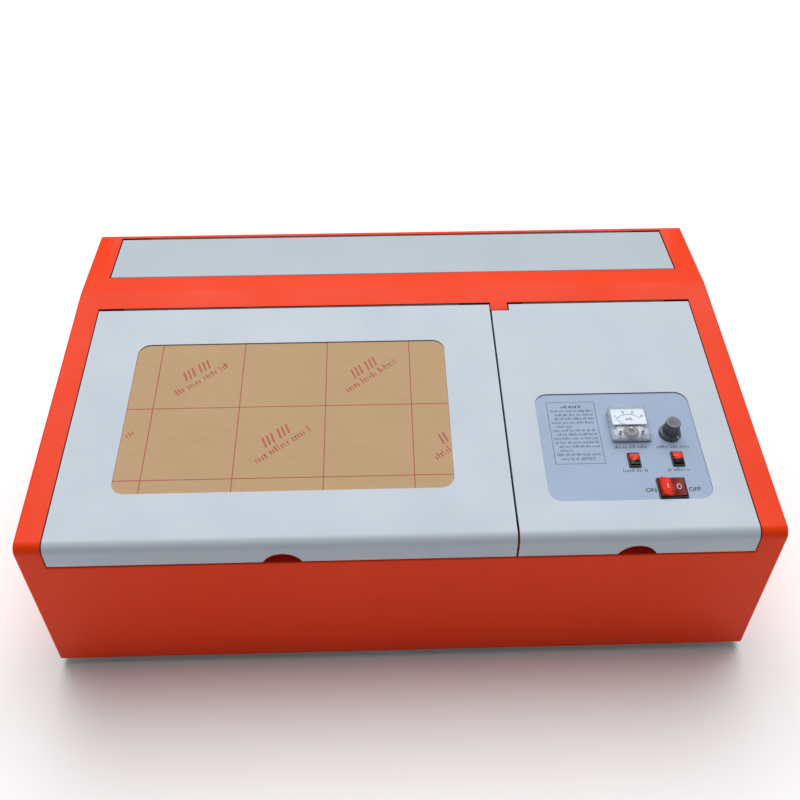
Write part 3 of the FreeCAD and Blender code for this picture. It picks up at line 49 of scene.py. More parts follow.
# ---- materials ----
class Surface:
    """A Principled material and short calls for the nodes that feed it."""

    def __init__(self, name, colour, roughness, metallic=0.0, **inputs):
        self.material = bpy.data.materials.new(name)
        self.material.use_nodes = True
        self.tree = self.material.node_tree
        self.shader = self.tree.nodes["Principled BSDF"]
        self.colour = colour
        self.shader.inputs["Base Color"].default_value = (*colour, 1.0)
        self.shader.inputs["Roughness"].default_value = roughness
        self.shader.inputs["Metallic"].default_value = metallic
        for key, value in inputs.items():
            self.shader.inputs[key.replace("_", " ")].default_value = value
        self.place = self.add("ShaderNodeTexCoord").outputs["Object"]
        self.bumps = None

    def add(self, kind, **settings):
        node = self.tree.nodes.new(kind)
        for key, value in settings.items():
            setattr(node, key, value)
        return node

    def link(self, source, target):
        self.tree.links.new(source, target)

    def stretched(self, scale):
        """Object coordinates stretched per axis."""
        mapping = self.add("ShaderNodeMapping")
        mapping.inputs["Scale"].default_value = scale
        self.link(self.place, mapping.inputs["Vector"])
        return mapping.outputs["Vector"]

    def noise(self, scale, detail=2.0, stretch=None, roughness=0.5):
        node = self.add("ShaderNodeTexNoise")
        node.inputs["Scale"].default_value = scale
        node.inputs["Detail"].default_value = detail
        node.inputs["Roughness"].default_value = roughness
        self.link(self.stretched(stretch) if stretch else self.place, node.inputs["Vector"])
        return node.outputs["Fac"]

    def spread(self, value, low, high, start=0.3, end=0.7):
        """A value from start to end, spread over low to high."""
        node = self.add("ShaderNodeMapRange")
        self.link(value, node.inputs["Value"])
        for name, number in zip(("From Min", "From Max", "To Min", "To Max"), (start, end, low, high)):
            node.inputs[name].default_value = number
        return node.outputs["Result"]

    def maths(self, operation, a, b=0.0):
        node = self.add("ShaderNodeMath", operation=operation)
        for socket, value in zip(node.inputs, (a, b)):
            if isinstance(value, (int, float)):
                socket.default_value = value
            else:
                self.link(value, socket)
        return node.outputs["Value"]

    def axis(self, letter):
        node = self.add("ShaderNodeSeparateXYZ")
        self.link(self.place, node.inputs["Vector"])
        return node.outputs[letter]

    def tint(self, factor, colour):
        """Mixes the base colour towards another by a factor."""
        node = self.add("ShaderNodeMix", data_type="RGBA")
        target = self.shader.inputs["Base Color"]
        if target.is_linked:
            self.link(target.links[0].from_socket, node.inputs["A"])
        else:
            node.inputs["A"].default_value = target.default_value
        self.link(factor, node.inputs["Factor"])
        node.inputs["B"].default_value = (*colour, 1.0)
        self.link(node.outputs["Result"], target)

    def vary(self, name, value):
        self.link(value, self.shader.inputs[name])

    def bump(self, height, distance, strength=1.0):
        node = self.add("ShaderNodeBump")
        node.inputs["Distance"].default_value = distance
        node.inputs["Strength"].default_value = strength
        self.link(height, node.inputs["Height"])
        if self.bumps:
            self.link(self.bumps, node.inputs["Normal"])
        self.bumps = node.outputs["Normal"]
        self.link(self.bumps, self.shader.inputs["Normal"])

    def soften_edges(self, radius):
        """Rounds sharp edges in the shading."""
        node = self.add("ShaderNodeBevel", samples=4)
        node.inputs["Radius"].default_value = radius
        self.bumps = node.outputs["Normal"]
        self.link(self.bumps, self.shader.inputs["Normal"])


SHEET_EDGE, MOULDED_EDGE = 0.6 * MM, 0.25 * MM      # radius that the shading gives to sharp edges
ACROSS_X = (1, 30, 30)                   # stretches noise into a grain that runs along x
NEAR_BLACK = (0.012, 0.011, 0.011)
RIB_SCALE = 140                          # bands of the wave texture, for teeth and ribs
PAINTED_SHADE_SHARE = 0.36                       # of a small switch's length, from its front, painted black as shade
BOARD_TOP = 9.7 * MM                     # from the feet of the board's spacers to its bare surface


def shade(colour, factor):
    return tuple(min(1.0, c * factor) for c in colour)


def powder_coat(name, colour, roughness, patch, coat=0.0, gloss=0.3):
    """Sprayed paint: fine orange peel, slow unevenness and slightly dull patches."""
    s = Surface(name, colour, roughness, Coat_Weight=coat, Coat_Roughness=0.15, Specular_IOR_Level=gloss)
    s.soften_edges(SHEET_EDGE)
    s.tint(s.spread(s.noise(5, 3), 0, patch), shade(colour, 0.8))
    s.tint(s.spread(s.noise(38, 4, roughness=0.7), 0, patch * 0.5), shade(colour, 1.25))
    s.tint(s.spread(s.noise(700, 1), 0, 0.5, 0.72, 0.78), shade(colour, 0.75))
    s.vary("Roughness", s.spread(s.noise(14, 5), roughness * 0.8, roughness * 1.35))
    s.bump(s.noise(9, 2), 0.8 * MM, 0.15)
    s.bump(s.noise(420, 2), 0.04 * MM, 0.5)
    return s


def case_paint():
    return powder_coat("case_paint", (0.86, 0.046, 0.005), 0.36, 0.30, 0.02, 0.10)


def lid_paint():
    return powder_coat("lid_paint", (0.492, 0.553, 0.623), 0.42, 0.10, 0.05)


def rear_lid_paint():
    return powder_coat("rear_lid_paint", (0.425, 0.485, 0.540), 0.44, 0.12, 0.04)


def panel_metal():
    """Bluish anodised plate with a fine brushed grain and a painted soft sheen: lighter patches that drift
    across it.
    """
    s = Surface("panel_metal", (0.315, 0.395, 0.545), 0.5, 0.0, Specular_IOR_Level=0.25)
    # painted sheen: slow patches of lighter blue
    s.tint(s.spread(s.noise(9, 2), 0, 0.45), (0.37, 0.465, 0.635))
    grain = s.noise(60, 3, (1, 60, 60))
    s.tint(s.spread(grain, 0, 0.12), (0.25, 0.33, 0.46))
    s.bump(grain, 0.01 * MM, 0.4)
    s.vary("Roughness", s.spread(s.noise(30, 3), 0.42, 0.58))
    return s


def zinc_steel():
    """Zinc-plated sheet: faint rolling grain and cloudy crystals."""
    s = Surface("zinc_steel", (0.56, 0.57, 0.57), 0.40, 0.55)
    crystals = s.add("ShaderNodeTexVoronoi")
    crystals.inputs["Scale"].default_value = 90
    s.link(s.place, crystals.inputs["Vector"])
    s.tint(s.spread(crystals.outputs["Distance"], 0, 0.35, 0.0, 0.6), (0.70, 0.71, 0.72))
    s.tint(s.spread(s.noise(12, 4), 0, 0.3), (0.46, 0.47, 0.48))
    s.vary("Roughness", s.spread(s.noise(40, 4), 0.28, 0.5))
    s.bump(s.noise(80, 3, ACROSS_X), 0.02 * MM, 0.3)
    return s


def bright_metal(name, colour, roughness, grain=(1, 1, 30)):
    """Plated or machined metal with a directional grain."""
    s = Surface(name, colour, roughness, 1.0)
    lines = s.noise(300, 2, grain)
    s.tint(s.spread(lines, 0, 0.3), shade(colour, 0.7))
    s.vary("Roughness", s.spread(s.noise(90, 3), roughness * 0.7, roughness * 1.4))
    s.bump(lines, 0.01 * MM, 0.4)
    return s


def hinge_steel():
    """Hinges painted near black as the shade in the gaps between the lids and the case, where they are
    almost lost.
    """
    return bright_metal("hinge_steel", (0.055, 0.055, 0.058), 0.42, ACROSS_X)


def screw_steel():
    return bright_metal("screw_steel", (0.66, 0.66, 0.67), 0.28)


def rod_chrome():
    return bright_metal("rod_chrome", (0.78, 0.79, 0.80), 0.10, (20, 1, 20))


def machined_aluminium():
    return bright_metal("machined_aluminium", (0.70, 0.71, 0.73), 0.36, (1, 12, 40))


def needle_metal():
    s = Surface("needle_metal", (0.45, 0.47, 0.52), 0.35, 0.4)
    s.tint(s.spread(s.noise(500, 2), 0, 0.4), (0.30, 0.31, 0.35))
    return s


def mirror_gold():
    s = Surface("mirror_gold", (0.92, 0.72, 0.38), 0.04, 1.0)
    s.vary("Roughness", s.spread(s.noise(60, 2), 0.02, 0.08))
    return s


def motor_body():
    """Black laminated steel: fine speckle and slightly paler patches."""
    s = Surface("motor_body", (0.035, 0.035, 0.04), 0.42, 0.3)
    layers = s.noise(900, 1)
    s.tint(s.spread(layers, 0, 0.5), (0.07, 0.07, 0.075))
    s.tint(s.spread(s.noise(25, 3), 0, 0.4), (0.12, 0.12, 0.125))
    s.bump(layers, 0.03 * MM, 0.5)
    return s


def moulded(name, colour, roughness, texture=0.05, **inputs):
    """Moulded plastic or rubber with a fine spark-eroded texture."""
    s = Surface(name, colour, roughness, **inputs)
    s.soften_edges(MOULDED_EDGE)
    s.tint(s.spread(s.noise(30, 3), 0, 0.25), shade(colour, 1.6))
    s.tint(s.spread(s.noise(260, 2), 0, 0.25), shade(colour, 0.6))
    s.vary("Roughness", s.spread(s.noise(120, 3), roughness * 0.8, roughness * 1.25))
    s.bump(s.noise(1500, 2), texture * MM, 0.5)
    return s


def foot_rubber():
    return moulded("foot_rubber", (0.022, 0.022, 0.023), 0.8, 0.12)


def belt_rubber():
    """Black belt with teeth as fine ridges across it."""
    s = moulded("belt_rubber", (0.02, 0.02, 0.02), 0.75)
    wave = s.add("ShaderNodeTexWave", bands_direction="DIAGONAL")
    wave.inputs["Scale"].default_value = RIB_SCALE
    s.link(s.place, wave.inputs["Vector"])
    s.tint(s.spread(wave.outputs["Fac"], 0, 0.5), (0.05, 0.05, 0.05))
    s.bump(wave.outputs["Fac"], 0.25 * MM, 0.6)
    return s


def black_plastic():
    return moulded("black_plastic", (0.02, 0.02, 0.021), 0.45)


def switch_plastic():
    return moulded("switch_plastic", NEAR_BLACK, 0.32, 0.03)


def knob_plastic():
    return moulded("knob_plastic", (0.10, 0.107, 0.128), 0.30, 0.04, Specular_IOR_Level=0.7)


def red_plastic():
    """Red on the far part of each small switch; the part nearest the front, which is pressed in, is
    painted black as shade.
    """
    s = moulded("red_plastic", (0.82, 0.036, 0.010), 0.36, 0.02, Specular_IOR_Level=0.3)
    low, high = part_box("laser_rocker")
    edge = low.y + (high.y - low.y) * PAINTED_SHADE_SHARE
    # painted shade: the pressed-in front part of each small switch goes black
    s.tint(s.spread(s.axis("Y"), 1.0, 0.0, edge - 0.1 * MM, edge + 0.1 * MM), NEAR_BLACK)
    return s


def rocker_translucent():
    """Clear red moulding: bright where it stands up, with painted shade darkening the half that is pressed
    in.
    """
    s = moulded("rocker_translucent", (0.80, 0.030, 0.008), 0.38, 0.01, Specular_IOR_Level=0.2)
    low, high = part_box("main_rocker")
    middle = (low.x + high.x) / 2
    # painted shade: the pressed-in half goes deep red
    s.tint(s.spread(s.axis("X"), 0.0, 0.9, middle - 3.5 * MM, middle + 1.0 * MM), (0.11, 0.004, 0.003))
    s.tint(s.spread(s.noise(110, 2), 0.0, 0.4, 0.45, 0.75), (0.20, 0.007, 0.004))
    return s


def meter_white():
    return moulded("meter_white", (0.52, 0.57, 0.64), 0.35, 0.02)


def dial_card():
    s = Surface("dial_card", (0.80, 0.85, 0.95), 0.55)
    s.tint(s.spread(s.noise(120, 3), 0, 0.3), (0.70, 0.76, 0.88))
    s.bump(s.noise(900, 2), 0.01 * MM, 0.4)
    return s


def coil_body():
    """Tan moulding with ribs that run to the front and back."""
    s = Surface("coil_body", (0.36, 0.34, 0.31), 0.5)
    wave = s.add("ShaderNodeTexWave", bands_direction="X")
    wave.inputs["Scale"].default_value = RIB_SCALE
    s.link(s.place, wave.inputs["Vector"])
    s.tint(s.spread(wave.outputs["Fac"], 0, 0.95), (0.075, 0.07, 0.06))
    s.tint(s.spread(s.noise(300, 2), 0, 0.5), (0.50, 0.47, 0.43))
    s.bump(wave.outputs["Fac"], 0.3 * MM, 0.8)
    return s


def clear(name, colour, alpha, roughness=0.05, gloss=0.5):
    """Clear plastic or glass with faint smears; seen through by transparency, so that it stays bright."""
    s = Surface(name, colour, roughness, Specular_IOR_Level=gloss)
    s.vary("Roughness", s.spread(s.noise(80, 4), roughness, roughness * 3))
    s.vary("Alpha", s.spread(s.noise(30, 3), alpha * 0.8, alpha * 1.25))
    s.bump(s.noise(25, 2), 0.1 * MM, 0.1)
    return s


def meter_clear():
    """Clearer on its flat top than around its sides, where the moulding is thick."""
    s = clear("meter_clear", (0.74, 0.80, 0.90), 0.09, 0.05, 0.25)
    normal = s.add("ShaderNodeNewGeometry").outputs["Normal"]
    parts = s.add("ShaderNodeSeparateXYZ")
    s.link(normal, parts.inputs["Vector"])
    s.vary("Alpha", s.spread(s.maths("ABSOLUTE", parts.outputs["Z"]), 0.34, 0.06, 0.5, 0.9))
    return s


def tube_glass():
    return clear("tube_glass", (0.78, 0.88, 0.90), 0.28)


def window_acrylic():
    return clear("window_acrylic", (0.80, 0.30, 0.04), 0.55, 0.08)


def lens_glass():
    return clear("lens_glass", (0.80, 0.32, 0.05), 0.7)


def kraft_paper():
    """Brown wrapping paper: long fibres, clouds and faint ribs from the roller."""
    s = Surface("kraft_paper", (0.50, 0.325, 0.178), 0.8, Specular_IOR_Level=0.25)
    s.tint(s.spread(s.noise(16, 5), 0, 0.35), (0.42, 0.27, 0.145))
    s.tint(s.spread(s.noise(60, 4, (1, 8, 8), 0.7), 0, 0.4), (0.57, 0.395, 0.225))
    s.tint(s.spread(s.noise(500, 3, (1, 3, 3)), 0, 0.5, 0.5, 0.8), (0.35, 0.22, 0.12))
    s.tint(s.spread(s.noise(220, 3, (5, 1, 1)), 0, 0.4, 0.55, 0.8), (0.61, 0.43, 0.26))
    s.bump(s.noise(7, 3), 3 * MM, 0.25)
    s.bump(s.noise(600, 3, (1, 3, 3)), 0.05 * MM, 0.5)
    return s


def circuit_board():
    """Green board; everything that stands above it is a dark component."""
    s = Surface("circuit_board", (0.015, 0.13, 0.055), 0.35)
    tracks = s.add("ShaderNodeTexBrick")
    tracks.inputs["Scale"].default_value = 60
    tracks.inputs["Color1"].default_value = (0, 0, 0, 1)
    tracks.inputs["Color2"].default_value = (1, 1, 1, 1)
    s.link(s.place, tracks.inputs["Vector"])
    s.tint(s.spread(tracks.outputs["Fac"], 0, 0.5, 0, 1), (0.03, 0.22, 0.09))
    above = s.maths("GREATER_THAN", s.axis("Z"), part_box("controller_board")[0].z + BOARD_TOP)
    s.tint(above, (0.03, 0.03, 0.033))
    s.tint(s.spread(s.noise(90, 3), 0, 0.3), (0.05, 0.12, 0.07))
    return s


def ink(name, colour, fade):
    """Printing ink, thin in places."""
    s = Surface(name, colour, 0.6)
    s.tint(s.spread(s.noise(400, 3), 0, 0.6), fade)
    s.tint(s.spread(s.noise(60, 3), 0, 0.4), fade)
    return s


SLOT_SURFACES = {
    "case_paint": case_paint,
    "lid_paint": lid_paint,
    "rear_lid_paint": rear_lid_paint,
    "panel_metal": panel_metal,
    "zinc_steel": zinc_steel,
    "hinge_steel": hinge_steel,
    "screw_steel": screw_steel,
    "rod_chrome": rod_chrome,
    "machined_aluminium": machined_aluminium,
    "motor_body": motor_body,
    "foot_rubber": foot_rubber,
    "belt_rubber": belt_rubber,
    "black_plastic": black_plastic,
    "meter_white": meter_white,
    "switch_plastic": switch_plastic,
    "knob_plastic": knob_plastic,
    "red_plastic": red_plastic,
    "rocker_translucent": rocker_translucent,
    "kraft_paper": kraft_paper,
    "window_acrylic": window_acrylic,
    "meter_clear": meter_clear,
    "dial_card": dial_card,
    "coil_body": coil_body,
    "needle_metal": needle_metal,
    "tube_glass": tube_glass,
    "lens_glass": lens_glass,
    "mirror_gold": mirror_gold,
    "circuit_board": circuit_board,
}
SMOOTH_BELOW = math.radians(28)
FLAT_FACE_WEIGHT = 90                    # large flat faces decide the normals along their edges
WELD_WITHIN = 0.001 * MM


def dress_nodes():
    """Gives each CAD node the surface of its material slot, and smooth shading on its round faces."""
    made = {}
    for part in frame["record"]["subparts"]:
        slot = part["material_slot"]
        if slot not in made:
            made[slot] = SLOT_SURFACES[slot]().material
        node = frame["nodes"][part["node"]]
        node.data.materials.clear()
        node.data.materials.append(made[slot])
        weld = node.modifiers.new("weld", "WELD")
        weld.merge_threshold = WELD_WITHIN
        node.data.shade_smooth()
        node.data.set_sharp_from_angle(angle=SMOOTH_BELOW)
        normals = node.modifiers.new("flat_faces_stay_flat", "WEIGHTED_NORMAL")
        normals.keep_sharp = True
        normals.weight = FLAT_FACE_WEIGHT


# ---- flat marks laid on a CAD face ----
PRINT_LIFT = 0.04 * MM                   # marks stand this far off their face
UPWARD = 0.5                             # least z of the normal of a face that looks upward
CAP_HEIGHT = 0.69                        # height of the built-in font's capitals at size 1
BOLDER = 0.03                            # growth of the letters' outlines, over their height
# writing that says nothing: shares of its height, or of the pitch of its letters
LETTER_PITCH, WORD_GAP = 0.42, 0.9
WORD_LETTERS = (3, 7)                    # fewest and most
LETTER_HEIGHTS = (0.6, 0.6, 0.65, 1.0)
STROKE_WIDTHS = (0.3, 0.55)              # narrowest and widest
CROSS_BAR_CHANCE, CROSS_BAR_WIDTH = 0.5, 0.8
CROSS_BAR_LOW, CROSS_BAR_HIGH = 0.5, 0.62


class Face:
    """The plane of a node's largest upward triangle, with x to the right and y up the slope."""

    def __init__(self, node, lift=PRINT_LIFT):
        mesh = frame["nodes"][node].data
        upward = [p for p in mesh.polygons if p.normal.z > UPWARD]
        largest = max(upward, key=lambda p: p.area)
        self.normal = largest.normal.copy()
        self.origin = largest.center.copy()
        self.right = Vector((1, 0, 0))
        self.ahead = self.normal.cross(self.right).normalized()
        self.right = self.ahead.cross(self.normal).normalized()
        self.lift = lift

    def at(self, x, y):
        """The point of the face above a place in plan."""
        fall = (x - self.origin.x) * self.normal.x + (y - self.origin.y) * self.normal.y
        return Vector((x, y, self.origin.z - fall / self.normal.z))

    def frame_at(self, x, y, turn=0.0):
        """Matrix that carries flat marks drawn about (0, 0) onto the face."""
        matrix = Matrix((self.right, self.ahead, self.normal)).transposed().to_4x4()
        matrix.translation = self.at(x, y) + self.normal * self.lift
        return matrix @ Matrix.Rotation(turn, 4, "Z")


class Marks:
    """Flat quads that are collected and made into one piece."""

    def __init__(self):
        self.points = []
        self.faces = []

    def quad(self, corners, matrix):
        start = len(self.points)
        self.points += [matrix @ Vector((x, y, 0)) for x, y in corners]
        self.faces.append((start, start + 1, start + 2, start + 3))

    def bar(self, x0, x1, y0, y1, matrix):
        self.quad([(x0, y0), (x1, y0), (x1, y1), (x0, y1)], matrix)

    def stroke(self, a, b, width, matrix):
        along = (Vector(b) - Vector(a)).normalized()
        side = Vector((-along.y, along.x)) * (width / 2)
        a, b = Vector(a), Vector(b)
        self.quad([tuple(a - side), tuple(b - side), tuple(b + side), tuple(a + side)], matrix)

    def arc(self, radius, width, start, end, matrix, steps=48):
        for k in range(steps):
            t0, t1 = (start + (end - start) * i / steps for i in (k, k + 1))
            inner, outer = radius - width / 2, radius + width / 2
            polar = ((inner, t0), (outer, t0), (outer, t1), (inner, t1))
            corners = [(r * math.cos(t), r * math.sin(t)) for r, t in polar]
            self.quad(corners, matrix)

    def disc(self, radius, matrix, steps=48):
        self.arc(radius / 2, radius, 0, 2 * math.pi, matrix, steps)

    def words(self, x0, x1, height, matrix, rng, y=0.0):
        """A row of small strokes of uneven height, spaced like words but saying nothing."""
        x = x0
        pitch = height * LETTER_PITCH
        while x < x1:
            for _ in range(rng.randint(*WORD_LETTERS)):
                if x > x1:
                    break
                tall = height * rng.choice(LETTER_HEIGHTS)
                self.bar(x, x + pitch * rng.uniform(*STROKE_WIDTHS), y, y + tall, matrix)
                if rng.random() < CROSS_BAR_CHANCE:
                    low, high = y + height * CROSS_BAR_LOW, y + height * CROSS_BAR_HIGH
                    self.bar(x, x + pitch * CROSS_BAR_WIDTH, low, high, matrix)
                x += pitch
            x += pitch * WORD_GAP

    def piece(self, name, material, body):
        mesh = bpy.data.meshes.new(name)
        mesh.from_pydata(self.points, [], self.faces)
        mesh.materials.append(material)
        return settle(bpy.data.objects.new(name, mesh), body)


def settle(obj, body):
    """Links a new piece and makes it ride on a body."""
    bpy.context.scene.collection.objects.link(obj)
    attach(obj, body)
    return obj


def lettering(name, text, height, matrix, material, body):
    """Generic letters or numbers as a flat mesh, centred on the matrix."""
    curve = bpy.data.curves.new(name, "FONT")
    curve.body = text
    curve.size = height / CAP_HEIGHT
    curve.offset = height * BOLDER
    curve.align_x = "CENTER"
    curve.align_y = "CENTER"
    source = bpy.data.objects.new(name + "_source", curve)
    bpy.context.scene.collection.objects.link(source)
    mesh = bpy.data.meshes.new_from_object(source)
    bpy.data.objects.remove(source)
    mesh.transform(matrix)
    mesh.materials.clear()
    mesh.materials.append(material)
    return settle(bpy.data.objects.new(name, mesh), body)


def place(x_from_left, y_from_front):
    """Plan position of a point given in millimetres from the case's left side and front."""
    return LEFT + x_from_left * MM, FRONT + y_from_front * MM


BLACK_INK = ink("black_ink", (0.010, 0.011, 0.018), (0.05, 0.06, 0.09)).material
RED_INK = ink("red_ink", (0.36, 0.030, 0.022), (0.40, 0.11, 0.07)).material
WHITE_INK = ink("white_ink", (0.85, 0.82, 0.80), (0.70, 0.66, 0.64)).material
# dark ink for the meter's print, also used for the painted shade of the recess in its cover
PRINT_AND_SHADE_INK = ink("print_and_shade_ink", (0.008, 0.008, 0.009), (0.03, 0.03, 0.03)).material


# ---- masking paper, in mm ----
GRID = 98.6                              # from one line of the printed grid to the next
GRID_X, GRID_Y = 118.5, 83.0             # first grid lines, from the left and the front
GRID_LINE = 1.3
COLUMNS, ROWS = 4, 2                     # grid lines that cross the window
WINDOW_LIP = 13.6                        # paper left unprinted under the edge of the window
MARK_TURN = math.radians(38)             # the marks slant up to the right
FIRST_BAR = -17                          # from the middle of the cell
BAR_GAPS = (5.6, 5.6, 9.0, 5.6, 5.6, 0)
BAR_FOOT, BAR_HEAD, BAR_LEAN, BAR_WIDTH = 2.5, 16.5, 4, 2.3
SMALL_ROW_REACH, SMALL_ROW_HEIGHT, SMALL_ROW_DOWN = 37, 9, 10


def paper_print():
    """Grid lines, and in every other cell two slanting rows of plain strokes."""
    face = Face("masking_paper")
    low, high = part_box("masking_paper")
    margin = WINDOW_LIP * MM
    marks = Marks()
    flat = face.frame_at(0, 0)
    up_scale = 1 / face.normal.z
    y_low, y_high = (low.y + margin) * up_scale, (high.y - margin) * up_scale
    half = GRID_LINE * MM / 2
    for column in range(COLUMNS):
        x = LEFT + (GRID_X + GRID * column) * MM
        marks.bar(x - half, x + half, y_low, y_high, flat)
    for row in range(ROWS):
        y = (FRONT + (GRID_Y + GRID * row) * MM) * up_scale
        marks.bar(low.x + margin, high.x - margin, y - half, y + half, flat)
    rng = random.Random(4)
    for column in range(-1, COLUMNS):
        for row in range(ROWS):
            if (column + row) % 2 == 0:
                continue
            x, y = place(GRID_X + GRID * (column + 0.5), GRID_Y + GRID * (row + 0.5))
            cell_marks(marks, face.frame_at(x, y, MARK_TURN), rng, (low.x + margin, high.x - margin))
    marks.piece("paper_print", RED_INK, "work_lid")


def cell_marks(marks, matrix, rng, limits):
    """One cell's two rows: large slanted bars above a row of small strokes, kept inside the window."""
    local = Marks()
    x = FIRST_BAR * MM
    for gap in BAR_GAPS:
        local.stroke((x, BAR_FOOT * MM), (x + BAR_LEAN * MM, BAR_HEAD * MM), BAR_WIDTH * MM, matrix)
        x += gap * MM
    reach = SMALL_ROW_REACH * MM
    local.words(-reach, reach, SMALL_ROW_HEIGHT * MM, matrix, rng, -SMALL_ROW_DOWN * MM)
    for face in local.faces:
        corners = [local.points[i] for i in face]
        if all(limits[0] < c.x < limits[1] for c in corners):
            start = len(marks.points)
            marks.points += corners
            marks.faces.append(tuple(range(start, start + 4)))


# ---- control panel, in mm ----
NOTICE = (569.0, 623.7, 92.5, 179.5)     # frame of the printed notice: left, right, front and rear
NOTICE_LINE = 0.5
HEADING_SHIFTS = (0, 0.25)               # printed twice, a little apart, so that it looks bold
HEADING_REACH, HEADING_HEIGHT, HEADING_DOWN = 11, 4, 8.5
ROW_FILLS = (1, 1, 1, 1, 0.4, 1, 1, 1, 1, 1, 0.3, 1, 0.85)     # how far along its line each row goes
FIRST_ROWS = (0, 3, 5, 7, 8, 11)         # the first row of each note, which starts further left
FIRST_INSET, NEXT_INSET, RIGHT_INSET = 3.5, 7.5, 2.5
ROW_GAP, ROW_HEIGHT, ROWS_DOWN = 5.6, 3.4, 14.2
CAPTIONS = (                             # middle from the left and the front, and width
    (654.9, 114.6, 36),
    (702.0, 114.0, 36),
    (654.7, 83.0, 27),
    (701.9, 83.0, 25),
)
CAPTION_HEIGHT = 4.4
SWITCH_WORDS = (("label_on", "ON", 666.6, 56.9), ("label_off", "OFF", 713.6, 56.7))
SWITCH_WORD_HEIGHT = 5.2


def panel_print():
    """A framed notice in rows of plain strokes, a caption by each control, and ON and OFF."""
    face = Face("control_panel")
    marks = Marks()
    rng = random.Random(11)
    x0, x1, y0, y1 = NOTICE
    cx, cy = place((x0 + x1) / 2, (y0 + y1) / 2)
    matrix = face.frame_at(cx, cy)
    half_x, half_y = (x1 - x0) / 2 * MM, (y1 - y0) / 2 * MM
    line = NOTICE_LINE * MM
    marks.bar(-half_x, half_x, half_y, half_y + line, matrix)
    marks.bar(-half_x, half_x, -half_y, -half_y + line, matrix)
    marks.bar(-half_x, -half_x + line, -half_y, half_y, matrix)
    marks.bar(half_x, half_x + line, -half_y, half_y, matrix)
    for shift in HEADING_SHIFTS:
        start, end = (-HEADING_REACH + shift) * MM, HEADING_REACH * MM
        y = half_y - HEADING_DOWN * MM
        marks.words(start, end, HEADING_HEIGHT * MM, matrix, random.Random(3), y)
    for row, fill in enumerate(ROW_FILLS):
        inset = (FIRST_INSET if row in FIRST_ROWS else NEXT_INSET) * MM
        start = -half_x + inset
        end = start + (2 * half_x - inset - RIGHT_INSET * MM) * fill
        y = half_y - ROWS_DOWN * MM - ROW_GAP * MM * row
        marks.words(start, end, ROW_HEIGHT * MM, matrix, rng, y)
    for x, y, width in CAPTIONS:
        matrix = face.frame_at(*place(x, y))
        half = width / 2 * MM
        marks.words(-half, half, CAPTION_HEIGHT * MM, matrix, rng, -CAPTION_HEIGHT / 2 * MM)
    marks.piece("panel_print", BLACK_INK, "control_lid")
    for name, text, x, y in SWITCH_WORDS:
        at = face.frame_at(*place(x, y))
        lettering(name, text, SWITCH_WORD_HEIGHT * MM, at, BLACK_INK, "control_lid")


# ---- meter, in mm ----
PIVOT_AHEAD = 3.5                        # the scale's centre, in front of the card
SCALE_FROM, SCALE_TO = math.radians(135), math.radians(45)
SCALE_RADIUS, SCALE_LINE = 17.5, 0.5
TICKS, TICKS_PER_NUMBER = 15, 5
LONG_TICK, SHORT_TICK = (2.4, 0.6), (1.2, 0.35)      # length and width
NUMBERS = ("0", "10", "20", "30")
NUMBERS_ACROSS, NUMBERS_UP, NUMBER_HEIGHT = 21.6, 21.4, 2.4
UNIT_UP, UNIT_HEIGHT = 11.0, 3.8
# painted shade of the recess in the cover: a dark lens-shaped mark
RECESS_SHADE_AHEAD = 14.5                      # from the middle of the cover
RECESS_SHADE_HALF, RECESS_SHADE_DEPTH, RECESS_SHADE_STEPS = 8.5, 2.9, 16
SCREW_ASIDE, SCREW_AHEAD, SCREW_LIFT, SCREW_RADIUS, SCREW_STEPS = 12.5, 2.5, 0.3, 1.8, 16


def meter_print():
    """Scale arc with ticks and numbers, and the unit."""
    face = Face("meter_dial")
    low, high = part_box("meter_dial")
    centre = face.frame_at((low.x + high.x) / 2, low.y - PIVOT_AHEAD * MM)
    marks = Marks()
    radius = SCALE_RADIUS * MM
    marks.arc(radius, SCALE_LINE * MM, SCALE_FROM, SCALE_TO, centre)
    for k in range(TICKS + 1):
        a = SCALE_FROM + (SCALE_TO - SCALE_FROM) * k / TICKS
        length, width = LONG_TICK if k % TICKS_PER_NUMBER == 0 else SHORT_TICK
        ends = [(r * math.cos(a), r * math.sin(a)) for r in (radius, radius + length * MM)]
        marks.stroke(ends[0], ends[1], width * MM, centre)
    marks.piece("dial_scale", PRINT_AND_SHADE_INK, "control_lid")
    for k, text in enumerate(NUMBERS):
        a = SCALE_FROM + (SCALE_TO - SCALE_FROM) * k / (len(NUMBERS) - 1)
        x, y = NUMBERS_ACROSS * MM * math.cos(a), NUMBERS_UP * MM * math.sin(a)
        spot = centre @ Matrix.Translation((x, y, 0))
        name, height = "dial_number_" + text, NUMBER_HEIGHT * MM
        lettering(name, text, height, spot, PRINT_AND_SHADE_INK, "control_lid")
    spot = centre @ Matrix.Translation((0, UNIT_UP * MM, 0))
    lettering("dial_unit", "mA", UNIT_HEIGHT * MM, spot, PRINT_AND_SHADE_INK, "control_lid")


